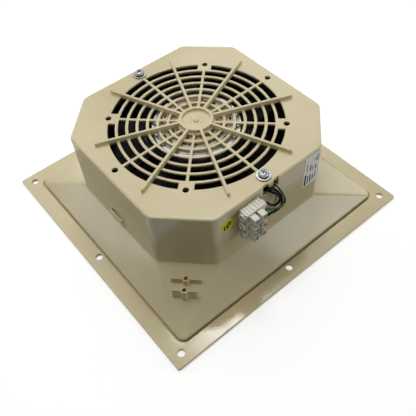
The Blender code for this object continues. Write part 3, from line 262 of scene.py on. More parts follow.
# Leads: each pole's height and the points (x, out from the wall, down from the head's top)
ROUTES = {
    "lead_black_1": (80.2, [
        (0.2, -9.9, 18.6), (-0.5, -8.9, 17.1), (-1.9, -7.0, 14.1), (-3.8, -4.5, 9.4), (-4.1, -2.3, 7.4),
        (-3.8, -0.3, 6.7), (-3.1, 1.5, 6.9), (-1.5, 3.3, 8.0), (1.2, 4.4, 10.8), (4.5, 4.6, 15.9),
        (5.2, 5.5, 19.4), (4.0, 5.8, 21.9), (1.5, 5.6, 23.0), (-1.5, 5.0, 22.3), (-4.9, 4.9, 18.5),
        (-9.0, 5.3, 12.5)]),
    "lead_black_2": (59.8, [
        (-2.5, -9.9, 15.0), (-3.4, -8.9, 13.8), (-5.1, -7.0, 11.6), (-6.5, -4.0, 8.9), (-7.0, -2.0, 6.4),
        (-6.2, -0.3, 5.0), (-4.3, 1.0, 4.4), (-1.4, 1.8, 5.1), (2.7, 2.5, 9.3), (7.5, 2.8, 17.9),
        (9.9, 3.2, 25.5), (10.1, 3.3, 31.0), (7.6, 3.5, 34.5), (3.4, 3.5, 35.0), (-2.5, 4.0, 32.3),
        (-7.7, 5.3, 30.0)]),
    "lead_earth": (70.0, [
        (2.5, -9.9, 15.0), (2.8, -9.0, 13.8), (3.4, -7.1, 11.4), (3.3, -4.2, 8.9), (3.8, -2.4, 7.3),
        (4.4, -0.8, 6.6), (4.9, 0.9, 6.9), (5.3, 2.5, 8.0), (6.1, 3.9, 10.3), (8.3, 4.9, 15.9),
        (10.1, 5.9, 22.1), (9.7, 6.4, 26.6), (6.5, 6.3, 28.9), (1.7, 5.7, 28.1), (-3.2, 5.2, 25.6),
        (-8.3, 5.3, 21.3)]),
}
LEAD_R, LEAD_SIDES = 0.995, 20


def smooth_line(route, pole, count):
    """Points on a smooth curve through the route's own points and on to its pole's mouth."""
    knots = [Vector((x, -HEAD_HALF - out, HEAD_TOP - down)) for x, out, down in route]
    knots.append(Vector((BLOCK_RIGHT + 2.4, WALL_Y - 5, pole)))
    knots = [2 * knots[0] - knots[1]] + knots + [2 * knots[-1] - knots[-2]]
    spans = len(knots) - 3
    points = []
    for i in range(count + 1):
        along = spans * i / count
        k = min(int(along), spans - 1)
        t = along - k
        a, b, c, d = knots[k:k + 4]
        curve = (2 * a - 5 * b + 4 * c - d) * t ** 2 + (3 * b - a - 3 * c + d) * t ** 3
        points.append((2 * b + (c - a) * t + curve) / 2)
    return points


def face_out(bm):
    bmesh.ops.recalc_face_normals(bm, faces=bm.faces)


def to_object(name, bm, mat, node=None, body="housing", angle=35, weighted=True):
    """Turns a bmesh in millimetres into a smooth piece on its body, in place of a node if one is given."""
    bmesh.ops.scale(bm, vec=(MM, MM, MM), verts=bm.verts)
    mesh = bpy.data.meshes.new(name)
    bm.to_mesh(mesh)
    bm.free()
    obj = new_object(name, mesh)
    mesh.materials.append(mat)
    mesh.shade_smooth()
    mesh.set_sharp_from_angle(angle=radians(angle))
    if weighted:
        even = obj.modifiers.new("even shading", "WEIGHTED_NORMAL")
        even.keep_sharp, even.weight = True, 90
    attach(obj, body)
    if node:
        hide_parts(node)
    return obj


def make_lead(name, pole, route, mat):
    """A tube along the route, whose own coordinate across it is a half on the side that faces up and out."""
    points = smooth_line(route, pole, 6 * len(route))
    bm = bmesh.new()
    layer = bm.loops.layers.uv.new("around")
    near_notch, near_block = Vector((0.75, -0.3, 0.7)), Vector((0, 0.9, 0.45))
    angles = [2 * pi * k / LEAD_SIDES + pi for k in range(LEAD_SIDES)]
    rows = []
    for i, point in enumerate(points):
        ahead = (points[min(i + 1, len(points) - 1)] - points[max(i - 1, 0)]).normalized()
        out = near_notch.lerp(near_block, min(max(2.5 * i / len(points) - 1.5, 0), 1))
        out = (out - out.dot(ahead) * ahead).normalized()
        side = ahead.cross(out)
        rows.append([bm.verts.new(point + LEAD_R * (cos(a) * out + sin(a) * side)) for a in angles])
    for i, (low, high) in enumerate(zip(rows, rows[1:])):
        for k in range(LEAD_SIDES):
            j = (k + 1) % LEAD_SIDES
            face = bm.faces.new((low[k], low[j], high[j], high[k]))
            for loop, (u, v) in zip(face.loops, ((k, i), (k + 1, i), (k + 1, i + 1), (k, i + 1))):
                loop[layer].uv = (u / LEAD_SIDES, v / len(rows))
    for ring in (rows[0], rows[-1]):
        bm.faces.new(ring)
    face_out(bm)
    lead = to_object(name + "_sleeve", bm, mat, name, weighted=False)


for lead_name, (pole, route) in ROUTES.items():
    make_lead(lead_name, pole, route, EARTH_WIRE if lead_name == "lead_earth" else BLACK_WIRE)


# Outlines: each point is (centre x, centre y, direction x, direction y, radius), so it can be moved in or out
def octagon(half, cut_back, radius, steps=8):
    """A square with its corners cut back and every corner rounded."""
    near = half - radius
    far = half - cut_back - radius * tan(pi / 8)
    points = []
    for quarter in range(4):
        turn = Matrix.Rotation(quarter * pi / 2, 2)
        for centre, start in (((near, far), 0), ((far, near), pi / 4)):
            for i in range(steps + 1):
                a = start + pi / 4 * i / steps
                c, d = turn @ Vector(centre), turn @ Vector((cos(a), sin(a)))
                points.append((*c, *d, radius))
    return points


def round_square(half, radius, steps=8):
    return octagon(half, radius * (2 - DIAGONAL), radius, steps)


def circle(x, y, radius, steps=32):
    return [(x, y, cos(2 * pi * i / steps), sin(2 * pi * i / steps), radius) for i in range(steps)]


def slot_shape(start, end, start_half, end_half, inner, outer):
    """One grille slot between two bars, with round corners. Moved out, it grows on all sides."""
    corner = 0.55
    far, near = outer - corner, inner + corner
    (far_start, near_start), (far_end, near_end) = (
        [angle + side * asin((half + corner) / r) for r in (far, near)]
        for angle, half, side in ((start, start_half, 1), (end, end_half, -1)))
    end_side, start_side = end + pi / 2, start - pi / 2
    far_steps = max(3, ceil((far_end - far_start) / radians(2.2)))
    near_steps = max(3, ceil((near_end - near_start) / radians(4)))
    points = []
    # radius, centre's first and last angle, direction's first and last angle, steps
    for r, c0, c1, d0, d1, steps in (
            (far, far_start, far_end, far_start, far_end, far_steps),
            (far, far_end, far_end, far_end, end_side, 4),
            (near, near_end, near_end, end_side, near_end + pi, 4),
            (near, near_end, near_start, near_end + pi, near_start + pi, near_steps),
            (near, near_start, near_start, near_start - pi, start_side, 4),
            (far, far_start, far_start, start_side, far_start, 4)):
        corner_only = int(c0 == c1)
        for i in range(corner_only, steps + 1 - corner_only):
            c, d = c0 + (c1 - c0) * i / steps, d0 + (d1 - d0) * i / steps
            points.append((r * cos(c), r * sin(c), cos(d), sin(d), corner))
    return points


def moved(outline, out):
    """The outline's points, moved outwards."""
    return [(cx + (r + out) * dx, cy + (r + out) * dy) for cx, cy, dx, dy, r in outline]


def corners(points, radius, steps=4):
    """An outline with its corners rounded, from plain points that run anticlockwise."""
    out = []
    for i, point in enumerate(points):
        p = Vector(point[:2])
        size = point[2] if len(point) > 2 else radius
        before = (p - Vector(points[i - 1][:2])).normalized()
        after = (Vector(points[(i + 1) % len(points)][:2]) - p).normalized()
        turn = atan2(before.cross(after), before.dot(after))
        sign = 1 if turn > 0 else -1
        normal = Vector((before.y, -before.x))
        centre = p - before * size * tan(abs(turn) / 2) - normal * size * sign
        for k in range(steps + 1):
            d = Matrix.Rotation(turn * k / steps, 2) @ normal
            out.append((*centre, *d, size * sign))
    return out


def rectangle(x, z, width, height):
    return [(x, z), (x + width, z), (x + width, z + height), (x, z + height)]


# Bodies
def row(bm, points, z):
    return [bm.verts.new((x, y, z)) for x, y in points]


def skin(bm, rows, closed=True):
    """Faces between rows of the same number of points."""
    for low, high in zip(rows, rows[1:]):
        for i in range(len(low) if closed else len(low) - 1):
            j = (i + 1) % len(low)
            bm.faces.new((low[i], low[j], high[j], high[i]))


def loft(bm, rows):
    """A closed body through rows of points."""
    skin(bm, rows)
    bm.faces.new(rows[0])
    bm.faces.new(rows[-1])


def transform(bm, matrix):
    bmesh.ops.transform(bm, matrix=matrix, verts=bm.verts)


def facing(spot, axis):
    """The move that puts the origin at the spot and the Z axis along this one."""
    return Matrix.LocRotScale(spot, Vector(axis).to_track_quat("Z", "Y"), None)


def arc_steps(start_out, start_z, radius, first, last, steps):
    """(out, z) pairs on an arc whose centre is (start_out, start_z)."""
    return [(start_out + radius * cos(first + (last - first) * i / steps),
             start_z + radius * sin(first + (last - first) * i / steps)) for i in range(steps + 1)]


def hole_rim(radius, top, steps):
    """(out, z) pairs over the rounded upper edge of a hole and down its wall."""
    return arc_steps(radius, top - radius, radius, pi / 2, pi, steps)


def fill(bm, loops):
    """A flat face inside the first loop and outside the others."""
    verts = [v for loop in loops for v in loop]
    edges, start = [], 0
    for loop in loops:
        edges += [(start + i, start + (i + 1) % len(loop)) for i in range(len(loop))]
        start += len(loop)
    flat = [v.co.xy for v in verts]
    _, _, faces, sources, _, _ = delaunay_2d_cdt(flat, edges, [], 1, 1e-5)
    spots = np.array([p[:] for p in flat])
    ends = spots[np.array(edges)]
    (x1, y1), (x2, y2) = ends[:, 0].T, ends[:, 1].T
    for face in faces:
        corner_ids = [sources[i][0] for i in face]
        x, y = spots[corner_ids].mean(axis=0) + 1e-6
        spans = (y1 > y) != (y2 > y)
        crossed = x < ((x2 - x1)[spans] * (y - y1[spans]) / (y2 - y1)[spans] + x1[spans])
        if crossed.sum() % 2:
            bm.faces.new([verts[i] for i in corner_ids])


def pierce(bm, shape, path, tops, unders):
    """A hole's wall, whose rims join the loops of the flat faces above and below."""
    rows = [row(bm, moved(shape, out), z) for out, z in path]
    skin(bm, rows)
    tops.append(rows[0])
    unders.append(rows[-1])


def curve_between(first, control, last, steps):
    """Rows of 3-D points on a quadratic curve between three rows."""
    return [[a * (1 - t) ** 2 + c * 2 * t * (1 - t) + b * t * t for a, c, b in zip(first, control, last)]
            for t in (i / steps for i in range(steps + 1))]


def lifted(outline, out, z):
    """The outline moved outwards, as 3-D points at height z."""
    return [Vector((x, y, z)) for x, y in moved(outline, out)]


def cut_away(bm, tools):
    """Cuts closed bmesh tools from a closed bmesh."""
    made = []
    for shape in [bm] + tools:
        face_out(shape)
        mesh = bpy.data.meshes.new("step")
        shape.to_mesh(mesh)
        shape.free()
        made.append(new_object("step", mesh))
    for tool in made[1:]:
        step = made[0].modifiers.new("cut", "BOOLEAN")
        step.operation, step.solver, step.object = "DIFFERENCE", "EXACT", tool
    bpy.context.view_layer.update()
    mesh = bpy.data.meshes.new_from_object(made[0].evaluated_get(bpy.context.evaluated_depsgraph_get()))
    result = bmesh.new()
    result.from_mesh(mesh)
    for used in [mesh] + [obj.data for obj in made]:
        bpy.data.meshes.remove(used)
    return result


def prism(outline, low, high):
    """A closed slab of a plain (x, z) outline, from low to high along Y."""
    bm = bmesh.new()
    loft(bm, [[bm.verts.new((x, y, z)) for x, z in outline] for y in (low, high)])
    face_out(bm)
    return bm


def absorb(bm, other):
    """Moves another bmesh into this one."""
    mesh = bpy.data.meshes.new("part")
    other.to_mesh(mesh)
    other.free()
    bm.from_mesh(mesh)
    bpy.data.meshes.remove(mesh)


def box(middle, size):
    bm = bmesh.new()
    bmesh.ops.create_cube(bm, size=1)
    transform(bm, Matrix.LocRotScale(middle, None, size))
    return bm


def rounded(bm, radius, steps):
    bmesh.ops.bevel(bm, geom=bm.edges[:], offset=radius, segments=steps, profile=0.5, affect="EDGES")
    return bm


def soft_box(low, high, radius=0.4, steps=2):
    """A box with rounded edges."""
    size = [b - a for a, b in zip(low, high)]
    middle = [(a + b) / 2 for a, b in zip(low, high)]
    return rounded(box(middle, size), min(radius, min(size) * 0.45), steps)


def turned(profile, steps=48, spot=(0, 0, 0), axis=(0, 0, 1)):
    """A body of revolution from (radius, height) pairs."""
    bm = bmesh.new()
    angles = [2 * pi * i / steps for i in range(steps)]
    rows = [[bm.verts.new((r * cos(a), r * sin(a), z)) for a in (angles if r else angles[:1])]
            for r, z in profile]
    for low, high in zip(rows, rows[1:]):
        for i in range(steps):
            ring = dict.fromkeys(r[k % len(r)] for r, k in ((low, i), (low, i + 1), (high, i + 1), (high, i)))
            if len(ring) > 2:
                bm.faces.new(list(ring))
    face_out(bm)
    transform(bm, facing(spot, axis))
    return bm


def rounded_profile(points, radius, steps=3):
    """The same path with its corners rounded, each corner (r, z) or (r, z, its own radius)."""
    out = [points[0][:2]]
    for a, b, c in zip(points, points[1:], points[2:]):
        p, q, s = Vector(a[:2]), Vector(b[:2]), Vector(c[:2])
        size = b[2] if len(b) > 2 else radius
        size = min(size, (p - q).length * 0.49, (s - q).length * 0.49)
        if size < 0.01:
            out.append(tuple(q))
            continue
        first, last = q + (p - q).normalized() * size, q + (s - q).normalized() * size
        for i in range(steps + 1):
            t = i / steps
            out.append(tuple(first * (1 - t) ** 2 + q * 2 * t * (1 - t) + last * t * t))
    out.append(points[-1][:2])
    return out


def slab(bm, outline, low, high, edge=0.4, holes=(), steps=3):
    """A plate with rounded edges, also round its holes, which are outlines too."""
    path = arc_steps(-edge, low + edge, edge, -pi / 2, 0, steps)
    path += arc_steps(-edge, high - edge, edge, 0, pi / 2, steps)
    unders, tops = [], []
    pierce(bm, outline, path, unders, tops)
    for hole in holes:
        pierce(bm, hole, [(-out, z) for out, z in path], unders, tops)
    fill(bm, unders)
    fill(bm, tops)


def side_slab(outline, low, high, edge=0.3, axis="X"):
    """A rounded slab whose outline lies across another axis: (y, z) points for X, (x, z) points for Y."""
    bm = bmesh.new()
    slab(bm, outline, low, high, edge, steps=2)
    swap = ((0, 0, 1), (1, 0, 0), (0, 1, 0)) if axis == "X" else ((1, 0, 0), (0, 0, 1), (0, 1, 0))
    transform(bm, Matrix(swap).to_4x4())
    return bm


def beige_piece(name, bm, node=None, body="housing"):
    to_object(name, bm, BEIGE, node, body)


# Housing
HEAD = octagon(HEAD_HALF, HEAD_CUT, HEAD_EDGE_R)
FOOT = round_square(FOOT_HALF, FOOT_R)


def slots():
    """All grille slots, between raised ribs and flush spokes, with lugs at the diagonals."""
    sector = pi / 8
    shapes = []
    for ring in range(SLOT_RINGS):
        outer = SLOT_OUTER_R - ring * SLOT_PITCH
        for k in range(16):
            halves = [LUG_HALF if ring == 0 and bar % 4 == 2 else RIB_HALF if bar % 2 else SPOKE_HALF
                      for bar in (k, k + 1)]
            shapes.append(slot_shape(k * sector, (k + 1) * sector, *halves, outer - SLOT_WIDTH, outer))
    return shapes


def notch_outline(top):
    """The lead notch from the side: two gaps with a round-ended tongue between."""
    left, right, floor, tongue_half = -8.3, 7.8, 80.5, 2.7
    tip = HEAD_TOP - 6 + tongue_half
    return [(left, top), (left, floor), (right, floor), (right, top), (tongue_half, top),
            *arc_steps(0, tip, tongue_half, 0, -pi, 12), (-tongue_half, top)]


def loop_at(bm, z):
    """The open edge of a skin at one height, in order."""
    near = {}
    for e in bm.edges:
        if e.is_boundary and all(abs(v.co.z - z) < 0.01 for v in e.verts):
            for v in e.verts:
                near.setdefault(v, []).append(e.other_vert(v))
    start = next(iter(near))
    loop, last, here = [start], None, start
    while True:
        last, here = here, [v for v in near[here] if v != last][0]
        if here == start:
            return loop
        loop.append(here)


def make_shell():
    """Neck, head and grille as one skin, inside and out."""
    bm = bmesh.new()
    top_r, slot_edge, hole_edge = 1.6, 0.95, 0.35
    # the groove that parts the neck from the flange, then the neck's foot
    rows = [lifted(FOOT, out, z) for out, z in
            ((1.62, 0.35), (1.62, 0.45), (-0.7, 0.45), (-0.9, 0.65), (-0.9, 2.2), (-0.1, 3), (0, 3.2),
             (0, 3.6))]
    slope = [[a * (1 - f) + b * f for a, b in zip(lifted(FOOT, 0, FOOT_TOP), lifted(HEAD, 0, NECK_TOP))]
             for f in (0, 0.035, 0.95, 1)]
    rows += curve_between(lifted(FOOT, 0, 4.2), slope[0], slope[1], 3)
    rows += curve_between(slope[2], slope[3], lifted(HEAD, 0, 32.4), 4)
    rows += [lifted(HEAD, out, z) for out, z in arc_steps(-top_r, HEAD_TOP - top_r, top_r, 0, pi / 2, 6)]
    inside = [lifted(HEAD, -WALL, PLATE_UNDER), lifted(HEAD, -WALL, 30.02), lifted(FOOT, -WALL, 4.02),
              lifted(FOOT, -WALL, 0.3), lifted(FOOT, -WALL + 0.3, 0)]
    outer, inner = ([[bm.verts.new(p) for p in r] for r in run] for run in (rows, inside))
    skin(bm, outer)
    skin(bm, inner)
    skin(bm, [inner[-1], outer[0]])
    bm.faces.new(outer[-1])
    bm.faces.new(inner[0])
    tools = [prism(notch_outline(top), -HEAD_HALF - 1, -HEAD_HALF + deep)
             for top, deep in ((PLATE_UNDER - 0.02, WALL + 1), (HEAD_TOP + 1, 1.2))]
    dimple = [(0, -0.45), (0.55, -0.45), (0.85, 0), (1.1, 0.5), (0, 0.5)]
    for side in (-1, 1):
        tools.append(box((side * HEAD_HALF, 0, 39.5), (3.4, 14.2, 6.4)))
        tools.append(turned(dimple, 16, (side * HEAD_HALF, -50.5, 80), (side, 0, 0)))
    bm = cut_away(bm, tools)
    # the flat top and underside make way for faces with the grille's holes
    caps = [f for f in bm.faces if abs(abs(f.normal.z) - 1) < 1e-4
            and min(abs(f.calc_center_median().z - z) for z in (HEAD_TOP, PLATE_UNDER)) < 0.005]
    bmesh.ops.delete(bm, geom=caps, context="FACES")
    bmesh.ops.delete(bm, geom=[e for e in bm.edges if not e.link_faces], context="EDGES")
    bmesh.ops.remove_doubles(bm, verts=bm.verts, dist=0.0005)
    tops, unders = [loop_at(bm, HEAD_TOP)], [loop_at(bm, PLATE_UNDER)]
    for shape in slots():
        pierce(bm, shape, hole_rim(slot_edge, HEAD_TOP, 5) + [(0.9, PLATE_UNDER)], tops, unders)
    holes = [(x, y, SPARE_HOLE_R) for x in (-SPARE, SPARE) for y in (-SPARE, SPARE)]
    holes += [(-SCREW_REACH, 0, SPARE_HOLE_R), (SCREW_REACH, 0, SPARE_HOLE_R),
              (0, -SCREW_REACH, SCREW_HOLE_R), (0, SCREW_REACH, SCREW_HOLE_R)]
    for hole in holes:
        pierce(bm, circle(*hole), hole_rim(hole_edge, HEAD_TOP, 3) + [(0.5, PLATE_UNDER)], tops, unders)
    fill(bm, tops)
    fill(bm, unders)
    face_out(bm)
    beige_piece("housing_shell", bm, "housing")


def make_flange():
    """The flange round the neck's foot, with its eight holes."""
    bm = bmesh.new()
    tops, unders = [], []
    edge = arc_steps(-0.6, FLANGE_THICK - 0.6, 0.6, pi / 2, 0, 4)
    edge += arc_steps(-0.4, 0.4, 0.4, 0, -pi / 2, 3)
    pierce(bm, round_square(FLANGE_HALF, 2, 6), edge, tops, unders)
    groove = [row(bm, moved(FOOT, out), z) for out, z in
              ((1.95, FLANGE_THICK), (1.75, 2.92), (1.62, 2.7), (1.58, 0.4))]
    skin(bm, groove)
    tops.append(groove[0])
    unders.append(row(bm, moved(FOOT, -WALL + 0.3), 0))
    rim = hole_rim(0.35, FLANGE_THICK, 3) + arc_steps(0.3, 0.3, 0.3, pi, pi * 1.5, 2)
    for x in (-HOLE_REACH, 0, HOLE_REACH):
        for y in (-HOLE_REACH, 0, HOLE_REACH):
            if x or y:
                pierce(bm, circle(x, y, HOLE_R, 40), rim, tops, unders)
    fill(bm, tops)
    fill(bm, unders)
    face_out(bm)
    beige_piece("housing_flange", bm)


def rib_outline(inner, outer, half, angle):
    """A bar along a radius with a round outer end, as an outline that can be moved in or out."""
    corner = half - 0.02
    points = []
    for centre, radius, first in ((outer - half, half, -pi / 2), (inner + corner, corner, pi / 2)):
        for i in range(13):
            a = first + pi * i / 12
            points.append((centre, 0, cos(a), sin(a), radius))
    turn = Matrix.Rotation(angle, 2)
    return [(*(turn @ Vector(p[:2])), *(turn @ Vector(p[2:4])), p[4]) for p in points]


def make_ribs():
    """Eight raised ribs and the dished hub with its nub, where they meet."""
    bm = bmesh.new()
    top = HEAD_TOP + RIB_HEIGHT
    path = [(0.03, 89.25), (0.03, HEAD_TOP)] + arc_steps(-0.33, top - 0.33, 0.33, 0, pi / 2, 4)
    for k in range(8):
        shape = rib_outline(12.6, RIB_END_R, 1.12, pi / 8 * (2 * k + 1))
        loft(bm, [row(bm, moved(shape, out), z) for out, z in path])
    face_out(bm)
    hub_top, dish = top + 0.02, 91
    profile = [(0, 88), (14.4, 88), (14.4, hub_top, 0.5), (11.9, hub_top, 0.35), (11.75, dish, 0.25),
               (5.6, dish, 0.1), (5.3, dish + 0.16, 0.1), (4.8, dish, 0.1), (2.75, dish, 0.15),
               (2.45, 92.1, 0.3), (1.3, 92.1, 0.3), (0.9, 91.75, 0.2), (0, 91.75)]
    absorb(bm, turned(rounded_profile(profile, 0.3, 4), 96))
    beige_piece("guard_ribs", bm)


def make_clamps():
    """Two low walls with screw bosses on the near corner of the neck."""
    bm = bmesh.new()
    slope = (NECK_TOP - FOOT_TOP) / ((FOOT_HALF - HEAD_HALF) * DIAGONAL + HEAD_CUT / DIAGONAL)
    wall_top, boss_top, floor = 30.5, 30.55, 21.5
    for out, half in ((13.1, 12.4), (23.7, 9.7)):
        reach = HEAD_HALF * DIAGONAL - HEAD_CUT / DIAGONAL + out
        base = NECK_TOP - out * slope - 3
        part = soft_box((reach - 1, -half, base), (reach + 1, half, wall_top), 0.3, 3)
        part = cut_away(part, [turned([(0, floor), (2.4, floor), (2.4, 32), (0, 32)], 32, (reach, 0, 0))])
        profile = [(0, base), (3.1, base), (3.1, boss_top, 0.45), (1.75, boss_top, 0.3), (1.75, floor, 0.2),
                   (0, floor)]
        absorb(part, turned(rounded_profile(profile, 0.2, 3), 32, (reach, 0, 0)))
        transform(part, Matrix.Rotation(radians(225), 4, "Z"))
        absorb(bm, part)
    beige_piece("lead_clamps", bm)


def make_catches():
    """Hooded catches low on the two side walls."""
    bm = bmesh.new()
    # lower (y, z), upper (y, z), start and end out from the wall, edge radius
    bars = (((-8.5, 29.6), (8.5, 36.2), -1, 0.65, 0.2), ((-8.5, 36.0), (-7.1, 42.8), -1, 0.6, 0.2),
            ((7.1, 36.0), (8.5, 42.8), -1, 0.6, 0.2), ((-8.9, 39.3), (8.9, 41.2), 0.5, 2.3, 0.55),
            ((-8.8, 39.4), (-7.3, 41.1), -1, 2.1, 0.3), ((7.3, 39.4), (8.8, 41.1), -1, 2.1, 0.3))
    for side in (-1, 1):
        for low, high, start, proud, soft in bars:
            near, far = sorted((side * (HEAD_HALF + start), side * (HEAD_HALF + proud)))
            absorb(bm, soft_box((near, *low), (far, *high), soft, 3))
    beige_piece("catches", bm)


def make_inner_parts():
    """Bars over the filter mat and ears for the hinge pins."""
    bm = bmesh.new()
    for side in (-1, 1):
        for across in (0, 1):
            drop = 0.1 * across
            bar = bmesh.new()
            loft(bar, [row(bar, rectangle(-reach, side * 33 - 1.2, 2 * reach, 2.4), z)
                       for z, reach in ((17.8 + drop, 98), (23.8 - drop, 93))])
            face_out(bar)
            rounded(bar, 0.35, 2)
            if across:
                transform(bar, Matrix.Rotation(pi / 2, 4, "Z"))
            absorb(bm, bar)
        x = side * 92
        profile = rounded_profile([(1.55, -2), (3, -2), (3, 2), (1.55, 2), (1.55, -2)], 0.25, 2)
        absorb(bm, turned(profile, 40, (x, PIVOT.y, PIVOT.z), (1, 0, 0)))
        low, high = (x - 1.85, PIVOT.y + 1.9, PIVOT.z - 2.85), (x + 1.85, 109.6, PIVOT.z + 2.85)
        absorb(bm, soft_box(low, high, 0.25))
    beige_piece("housing_inner_parts", bm)


make_shell()
make_flange()
make_ribs()
make_clamps()
make_catches()
make_inner_parts()


# Front cover
def make_cover():
    """The louvred cover with its rim, snap lugs and hinge barrels."""
    bm = bmesh.new()
    hinge, hinge_z = PIVOT.y, PIVOT.z
    deep, ear, gap = hinge - 4, COVER - 3.3, hinge - 3.45
    outline = [(-COVER, -COVER, 3), (-12, -COVER, 1), (-12, -COVER + 3, 0.8), (12, -COVER + 3, 0.8),
               (12, -COVER, 1), (COVER, -COVER, 3), (COVER, deep, 0.8), (ear, deep, 0.6), (ear, hinge, 0.8)]
    for x in (92, -92):
        outline += [(x + 3, hinge, 0.8), (x + 3, gap, 0.5), (x - 3, gap, 0.5), (x - 3, hinge, 0.8)]
    outline += [(-ear, hinge, 0.8), (-ear, deep, 0.6), (-COVER, deep, 0.8)]
    window = corners(rectangle(-WINDOW, -WINDOW, 2 * WINDOW, 2 * WINDOW), 1.2)
    slab(bm, corners(outline, 0.5), 0.3, 2.7, 0.55, [window])
    border = WINDOW + 2
    slab(bm, corners(rectangle(-border, -border, 2 * border, 2 * border), 2.5), 0.9, 7.2, 0.4, [window])
    slab(bm, octagon(101, 15, 2), 2.3, 12, 0.45, [octagon(99, 15 - 2 * (2 - DIAGONAL), 1)])
    lug = corners([(-103.3, 5.9), (-101.6, 5.5), (-100, 5.5), (-100, 8), (-101.6, 8)], 0.4)
    for x in (-60, 60):
        absorb(bm, side_slab(lug, x - 5, x + 5))
    barrel_r, bore_r, bore_deep = 3, 1.55, 5.3
    for low, high, bores in ((-102, -95, (0, 1)), (-89, 89, (1, 1)), (95, 102, (1, 0))):
        profile = [(0, low), (barrel_r, low, 0.5), (barrel_r, high, 0.5), (0, high)]
        if bores[0]:
            profile[:1] = [(0, low + bore_deep), (bore_r, low + bore_deep, 0.1), (bore_r, low, 0.3)]
        if bores[1]:
            profile[-1:] = [(bore_r, high, 0.3), (bore_r, high - bore_deep, 0.1), (0, high - bore_deep)]
        absorb(bm, turned(rounded_profile(profile, 0.3, 2), 40, (0, hinge, hinge_z), (1, 0, 0)))
    for k in range(LOUVRES):
        y = -WINDOW + 2 * WINDOW / LOUVRES * (k + 0.5) - 3.6
        section = [(y, 0.6, 0.5), (y + 1.8, 0.6, 0.6), (y + 7.2, 7.05, 0.4), (y + 5.4, 7.05, 0.6)]
        absorb(bm, side_slab(corners(section, 0.5), -WINDOW - 1, WINDOW + 1, 0.2))
    for x in (-45, 0, 45):
        absorb(bm, soft_box((x - 1, -WINDOW - 1, 0.75), (x + 1, WINDOW + 1, 7.1)))
    beige_piece("front_cover_moulding", bm, "front_cover", "front_cover")


make_cover()


# Filter mat
def mat_fleece():
    """Lofty white fleece: crossed fibres, soft lumps and a few darker grains."""
    mat, tree, shader = nodes_of("filter_fleece")
    at = position(tree)
    cross = combine(tree, "ADD", noise(tree, at, 0.5, 2, (0.12, 1.02, 0.4)),
                    noise(tree, at, 0.5, 2, (1.02, 0.12, 0.4)))
    wire(tint(tree, spread(tree, cross, 0, 1, 0.8, 1.15), (0.66, 0.67, 0.67), (0.88, 0.89, 0.89)),
         shader.inputs["Base Color"])
    relief(tree, shader, (noise(tree, at, 6, 3), 0.8), (cross, 0.35))
    return adjusted(mat, Roughness=0.95, Sheen_Weight=0.25)


def make_filter_mat():
    """A fleece slab with pressed, rounded edges and a gently uneven face."""
    bm = bmesh.new()
    shape = octagon(MAT_HALF, MAT_CUT, 6, 6)
    low, high = MAT_LOW + 0.05, MAT_HIGH - 0.05
    faces = [(inset, 0.12 * max(6 - inset, 0)) for inset in (85, 70, 55, 40, 25, 12, 6, 3, 1.6)]
    steps = [(inset, low + sag) for inset, sag in faces]
    steps += [(0.6, low + 1.3), (0, low + 2.6), (0, high - 2.6), (0.6, high - 1.3)]
    steps += [(inset, high - sag) for inset, sag in reversed(faces)]
    rows = []
    for inset, z in steps:
        share = 1 - inset / MAT_HALF
        ring = []
        for x, y in moved(shape, 0):
            x, y = x * share, y * share
            wave = 0.22 * sin(x / 7.3 + 0.4 * sin(y / 5)) * sin(y / 8.1 + 1.3)
            height = z + (wave if inset > 1 else 0.4 * wave)
            ring.append(bm.verts.new((x, y, min(max(height, MAT_LOW), MAT_HIGH))))
        rows.append(ring)
    loft(bm, rows)
    face_out(bm)
    fleece = to_object("filter_fleece_mat", bm, mat_fleece(), "filter_mat", angle=60,
                       weighted=False)


make_filter_mat()


# Screws and washers
def cross_recess(top, depth, reach):
    """Two tapered blades that cut a cross into a screw head from its top."""
    tools = []
    for turn in (0, pi / 2):
        bm = bmesh.new()
        loft(bm, [row(bm, rectangle(-x, -y, 2 * x, 2 * y), z)
                  for z, x, y in ((top - depth, reach * 0.4, 0.42), (top + 0.5, reach * 1.1, 0.72))])
        transform(bm, Matrix.Rotation(turn, 4, "Z"))
        tools.append(bm)
    return tools


def make_fan_screw(side, word, turn):
    """A pan head screw with a cross recess, and the washer under it."""
    y = side * SCREW_REACH
    profile = [(0, 82.8), (2, 82.8, 0.3), (2, 91.65, 0.05), (4.1, 91.65, 0.25), (4.1, 92.7, 0.5),
               (3.4, 93.85, 0.6), (2.2, 94.42, 0.4), (0, 94.5)]
    bm = cut_away(turned(rounded_profile(profile, 0.3)), cross_recess(94.4, 1.9, 2.4))
    transform(bm, Matrix.Translation((0, y, 0)) @ Matrix.Rotation(turn, 4, "Z"))
    to_object("pan_screw_" + word, bm, STEEL, "fan_screw_" + word, angle=40)
    profile = [(2.35, 90.3, 0.1), (6, 90.3, 0.2), (6, 91.3, 0.35), (4.5, 91.3, 0.1), (4.4, 91.2, 0.1),
               (2.35, 91.2, 0.1)]
    ring = rounded_profile(profile + profile[:1], 0.1, 2)
    to_object("flat_washer_" + word, turned(ring, 64, (0, y, 0)), STEEL, "washer_" + word)


make_fan_screw(-1, "near", 0.5)
make_fan_screw(1, "far", 0.2)


# Terminal block and its screws
def rod(radius, start, end, flare=0.0):
    """A cutter along one axis, wider at its far end by flare."""
    start, end = Vector(start), Vector(end)
    length = (end - start).length
    profile = [(0, 0), (radius, 0), (radius, length - 1.5), (radius + flare, length - 1),
               (radius + flare, length), (0, length)]
    return turned(profile, 24, start, end - start)


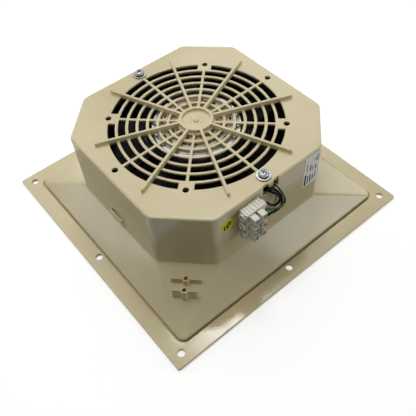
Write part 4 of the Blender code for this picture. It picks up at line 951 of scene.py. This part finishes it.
def make_block():
    """Three poles on a web, each with two screw turrets and a collar at either end."""
    depth, outside = WALL_Y - 5, WALL_Y - 10
    bore_r, screw_bore_r, turret_r = 1.9, 2.6, 2.0
    middle, screw_z = (BLOCK_LEFT + BLOCK_RIGHT) / 2, (POLES[0] + POLES[1]) / 2
    whole = bmesh.new()
    web = soft_box((BLOCK_LEFT + 4, depth, POLES[2]), (BLOCK_RIGHT - 4, WALL_Y - 0.15, POLES[0]), 0.3)
    head = rod(screw_bore_r, (middle, depth - 0.01, screw_z), (middle, outside, screw_z))
    absorb(whole, cut_away(web, [head]))
    profile = [(bore_r, -0.4, 0), (3.75, -0.4, 0), (3.6, 2, 0.45), (2.2, 2, 0.25), (bore_r, 1.6, 0.1)]
    collar = rounded_profile(profile + profile[:1], 0.2)
    for z in POLES:
        pole = soft_box((BLOCK_LEFT, WALL_Y - 9, z - 4.5), (BLOCK_RIGHT, WALL_Y, z + 4.5), 0.5, 3)
        tools = [rod(bore_r, (BLOCK_LEFT - 1, depth, z), (BLOCK_RIGHT + 1, depth, z)),
                 rod(screw_bore_r, (middle, depth, screw_z), (middle, outside, screw_z))]
        tools += [rod(turret_r, (x, depth, z), (x, outside, z)) for x in TURRETS]
        if z == POLES[0]:
            tools += [prism([(x, 84.2), (x + 0.7, 84.2), (x + 1.0, 86), (x - 0.3, 86)], WALL_Y - 7.9,
                            WALL_Y - 0.9) for x in (-31.3, -28.6, -25.9, -22.2, -19.5, -16.8)]
        absorb(whole, cut_away(pole, tools))
        for end, out in ((BLOCK_LEFT, -1), (BLOCK_RIGHT, 1)):
            absorb(whole, turned(collar, 36, (end, depth, z), (out, 0, 0)))
        for x in TURRETS:
            turret = soft_box((x - 2.7, WALL_Y - 15.5, z - 3.1), (x + 2.7, WALL_Y - 8.6, z + 3.1), 0.75, 3)
            mouth = rod(turret_r, (x, WALL_Y - 7, z), (x, WALL_Y - 16.5, z), 0.45)
            absorb(whole, cut_away(turret, [mouth]))
    to_object("terminal_strip", whole, NATURAL, "terminal_block", angle=50)


def slotted_screw(name, node, profile, radius, spot):
    """A screw that faces out from the wall. The radius is its slotted end's."""
    slot = box((0, 0, 0), (radius * 2.2, radius * 0.3, radius * 0.9))
    bm = cut_away(turned(rounded_profile(profile, 0.1), 32), [slot])
    transform(bm, facing(spot, (0, -1, 0)) @ Matrix.Rotation(0.4 * len(node), 4, "Z"))
    to_object(name, bm, STEEL, node, angle=40)


make_block()
for k, z in enumerate(POLES):
    for x, word in zip(TURRETS, ("left", "right")):
        slotted_screw("grub_screw_%s_%d" % (word, k + 1), "clamp_screw_%s_%d" % (word, k + 1),
                      [(0, -5), (1.6, -5, 0.1), (1.6, 0, 0.32), (0, 0)], 1.6, (x, WALL_Y - 13.7, z))
slotted_screw("fixing_screw", "block_screw",
              [(0, -11.4), (1.3, -11.4, 0.3), (1.3, -1.4, 0.05), (2.3, -1.4, 0.15), (2.3, 0, 0.5), (0, 0)],
              2.3, ((BLOCK_LEFT + BLOCK_RIGHT) / 2, WALL_Y - 6.7, (POLES[0] + POLES[1]) / 2))


# Motor cap, labels and sticker
def make_motor_cap():
    profile = [(0, 85.9), (37.3, 85.9, 0.15), (37.3, 86.7, 0.35), (35.6, 86.7, 0.3), (35.4, 86.05, 0.1),
               (34.2, 86.05, 0.1), (33.9, 86.4, 0.2), (12.5, 86.4, 0.3), (12, 86.1, 0.3), (0, 86.1)]
    bm = turned(rounded_profile(profile, 0.2), 96)
    to_object("motor_end_cap", bm, ALUMINIUM, "motor_cap")


def make_motor_label(ink):
    """A ring-shaped label on the motor cap, with rows of short arcs for print."""
    film = paper("motor_label_film", (0.56, 0.515, 0.43), (0.64, 0.59, 0.50))
    profile = [(13, 86.38), (33.7, 86.38), (33.7, 86.46), (13, 86.46), (13, 86.38)]
    to_object("motor_label", turned(profile, 96), film)
    bm = bmesh.new()
    for radius, width, parts in ((28.6, 1.6, 22), (24.6, 1.1, 30), (20.6, 1.4, 14), (17.0, 1.0, 18)):
        for k in range(parts):
            if (k * 7 + parts) % 5 == 0:
                continue
            start = 2 * pi * k / parts
            length = 2 * pi / parts * (0.45 + 0.3 * ((k * 3) % 4) / 4)
            arc = [start + length * i / 4 for i in range(5)]
            rows = [row(bm, [(r * cos(a), r * sin(a)) for a in arc], 86.475)
                    for r in (radius - width / 2, radius + width / 2)]
            skin(bm, rows, closed=False)
    face_out(bm)
    to_object("motor_label_print", bm, ink)


def stick_on_wall(name, outline, film, ink, proud, bars, print_name):
    """A thin film on the near wall, with (x, z, width, height) bars for print just over it."""
    face = -HEAD_HALF - proud
    to_object(name, side_slab(outline, face, -HEAD_HALF + 0.1, 0.05, "Y"), film)
    bm = bmesh.new()
    for bar in bars:
        bm.faces.new([bm.verts.new((x, face - 0.02, z)) for x, z in rectangle(*bar)])
    to_object(print_name, bm, ink, weighted=False)


def make_labels():
    """The labels on motor cap and wall and the sticker, with bars for print."""
    silver = paper("label_film", (0.88, 0.89, 0.89), (0.94, 0.95, 0.95))
    yellow = paper("sticker_film", (0.92, 0.78, 0.001), (0.98, 0.85, 0.002))
    ink = paper("label_ink", (0.003, 0.003, 0.003), (0.010, 0.010, 0.010))
    for film in (yellow, ink):
        adjusted(film, Specular_IOR_Level=0.06)
    make_motor_label(ink)
    bars = ((38.4, 54.0, 1.9, 13.0), (41.7, 54.4, 1.1, 10.0), (44.2, 55.0, 1.4, 9.4), (47.3, 56.0, 1.1, 7.0),
            (50.2, 56.4, 0.8, 8.4), (49.6, 67.4, 1.2, 6.0), (43.6, 69.4, 1.3, 6.6), (40.0, 70.2, 0.7, 8.0),
            (46.4, 68.6, 0.7, 5.0), (49.6, 77.6, 3.2, 1.1), (47.4, 80.0, 5.4, 0.9), (50.2, 82.2, 2.6, 0.9))
    stick_on_wall("wall_label", corners(rectangle(37.2, 52.5, 17.1, 35.3), 0.8), silver, ink, 0.16, bars,
                  "wall_label_print")
    x, z = -43.5, 74.5
    bars = ((-4.0, -4.0, 1.3, 5.2), (-0.7, -4.0, 1.3, 5.2), (-2.55, -4.0, 1.7, 1.3), (-2.55, -0.9, 1.7, 2.1),
            (1.0, -1.2, 1.3, 5.2), (2.45, 0.6, 1.6, 1.4), (-0.9, 1.6, 1.75, 1.4))
    bars = [(x + right, z + up, width, height) for right, up, width, height in bars]
    stick_on_wall("round_sticker", circle(x, z, 6.2, 48), yellow, ink, 0.14, bars, "sticker_print")


make_motor_cap()
make_labels()


# Materials of the CAD pieces that stay
for mat, names in ((BLACK, ("fan_frame", "impeller")), (RUBBER, ("lead_grommet",)),
                   (DARK_STEEL, ("rotor_cup", "stator_core")), (COPPER, ("winding_lower", "winding_upper")),
                   (BRASS, ("terminal_sleeve_1", "terminal_sleeve_2", "terminal_sleeve_3")),
                   (STEEL, ("shaft", "bearing_lower", "bearing_upper", "hinge_pin_left", "hinge_pin_right"))):
    for name in names:
        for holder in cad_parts[name].material_slots:
            holder.material = mat


# Stage and light, in metres
def background_rays(tree):
    """One for the rays in which the white background is seen, straight or in gloss or glass."""
    path = add(tree, "LightPath").outputs
    reflected = combine(tree, "MAXIMUM", path["Is Glossy Ray"], path["Is Transmission Ray"])
    return combine(tree, "MAXIMUM", path["Is Camera Ray"], reflected)


def make_stage():
    """A pale floor seen from above only, so that the part's front shows from below."""
    mesh = bpy.data.meshes.new("floor")
    mesh.from_pydata([(x, y, 0) for x, y in rectangle(-3, -3, 6, 6)], [], [(0, 1, 2, 3)])
    floor = new_object("floor", mesh)
    floor.location.z = -0.0001
    mat, tree, shader = nodes_of("floor")
    adjusted(mat, Roughness=0.9, Specular_IOR_Level=0.0, Emission_Color=(1, 1, 1, 1))
    seen = background_rays(tree)
    wire(tint(tree, seen, (0.22, 0.22, 0.21), (0.55, 0.55, 0.55)), shader.inputs["Base Color"])
    away = add(tree, "VectorMath", operation="LENGTH")
    wire(add(tree, "TexCoord").outputs["Object"], away.inputs[0])
    glow = combine(tree, "MULTIPLY", seen, spread(tree, away.outputs["Value"], 0.62, 1.0, 0.5, 2.6))
    wire(glow, shader.inputs["Emission Strength"])
    # seen from below, and by the light of the lamp under it, the floor isn't there
    under = combine(tree, "MAXIMUM", add(tree, "NewGeometry").outputs["Backfacing"],
                    add(tree, "LightPath").outputs["Is Shadow Ray"])
    open_below = add(tree, "MixShader")
    wire(under, open_below.inputs[0])
    wire(shader.outputs[0], open_below.inputs[1])
    wire(add(tree, "BsdfTransparent").outputs[0], open_below.inputs[2])
    wire(open_below.outputs[0], tree.nodes["Material Output"].inputs["Surface"])
    mesh.materials.append(mat)


def make_world():
    """A dim even world whose background is seen as white."""
    world = bpy.data.worlds.new("studio")
    bpy.context.scene.world = world
    world.use_nodes = True
    tree = world.node_tree
    ground = tree.nodes["Background"]
    ground.inputs["Color"].default_value = (1, 1, 1, 1)
    wire(spread(tree, background_rays(tree), 0.074, 1.0, 0, 1), ground.inputs["Strength"])


def make_lamp(name, azimuth, elevation, reach, size, watts):
    """A round lamp that is aimed at the part's middle."""
    data = bpy.data.lights.new(name, "AREA")
    data.shape, data.size, data.energy = "DISK", size, watts
    lamp = new_object(name, data)
    around, up = radians(azimuth), radians(elevation)
    back = Vector((cos(up) * cos(around), cos(up) * sin(around), sin(up)))
    lamp.matrix_world = facing(Vector((0, 0, 0.05)) + reach * back, back)


make_stage()
make_world()
# name, azimuth and elevation in degrees, distance and size in metres, watts
for lamp in (("right_back", 45, 48, 1.5, 0.8, 2.8),
             ("back", 90, 48, 1.5, 0.8, 2.1),
             ("left_high", 155, 74, 0.85, 0.45, 2.1),
             ("right_low", 0, 20, 1.5, 0.8, 3.0),
             ("back_low", 90, 20, 1.5, 0.8, 2.4),
             ("left_low", 144, 13, 1.2, 0.6, 1.9),
             ("front_right_low", 306, 13, 1.2, 0.6, 3.1),
             ("streak", 48.7, 68.5, 1.2, 0.26, 2.6),
             ("near_low", 225, 4, 1.2, 0.6, 0.3),
             ("below", 0, -90, 1.5, 0.6, 9)):
    make_lamp(*lamp)

bpy.context.scene.view_settings.view_transform = "Standard"
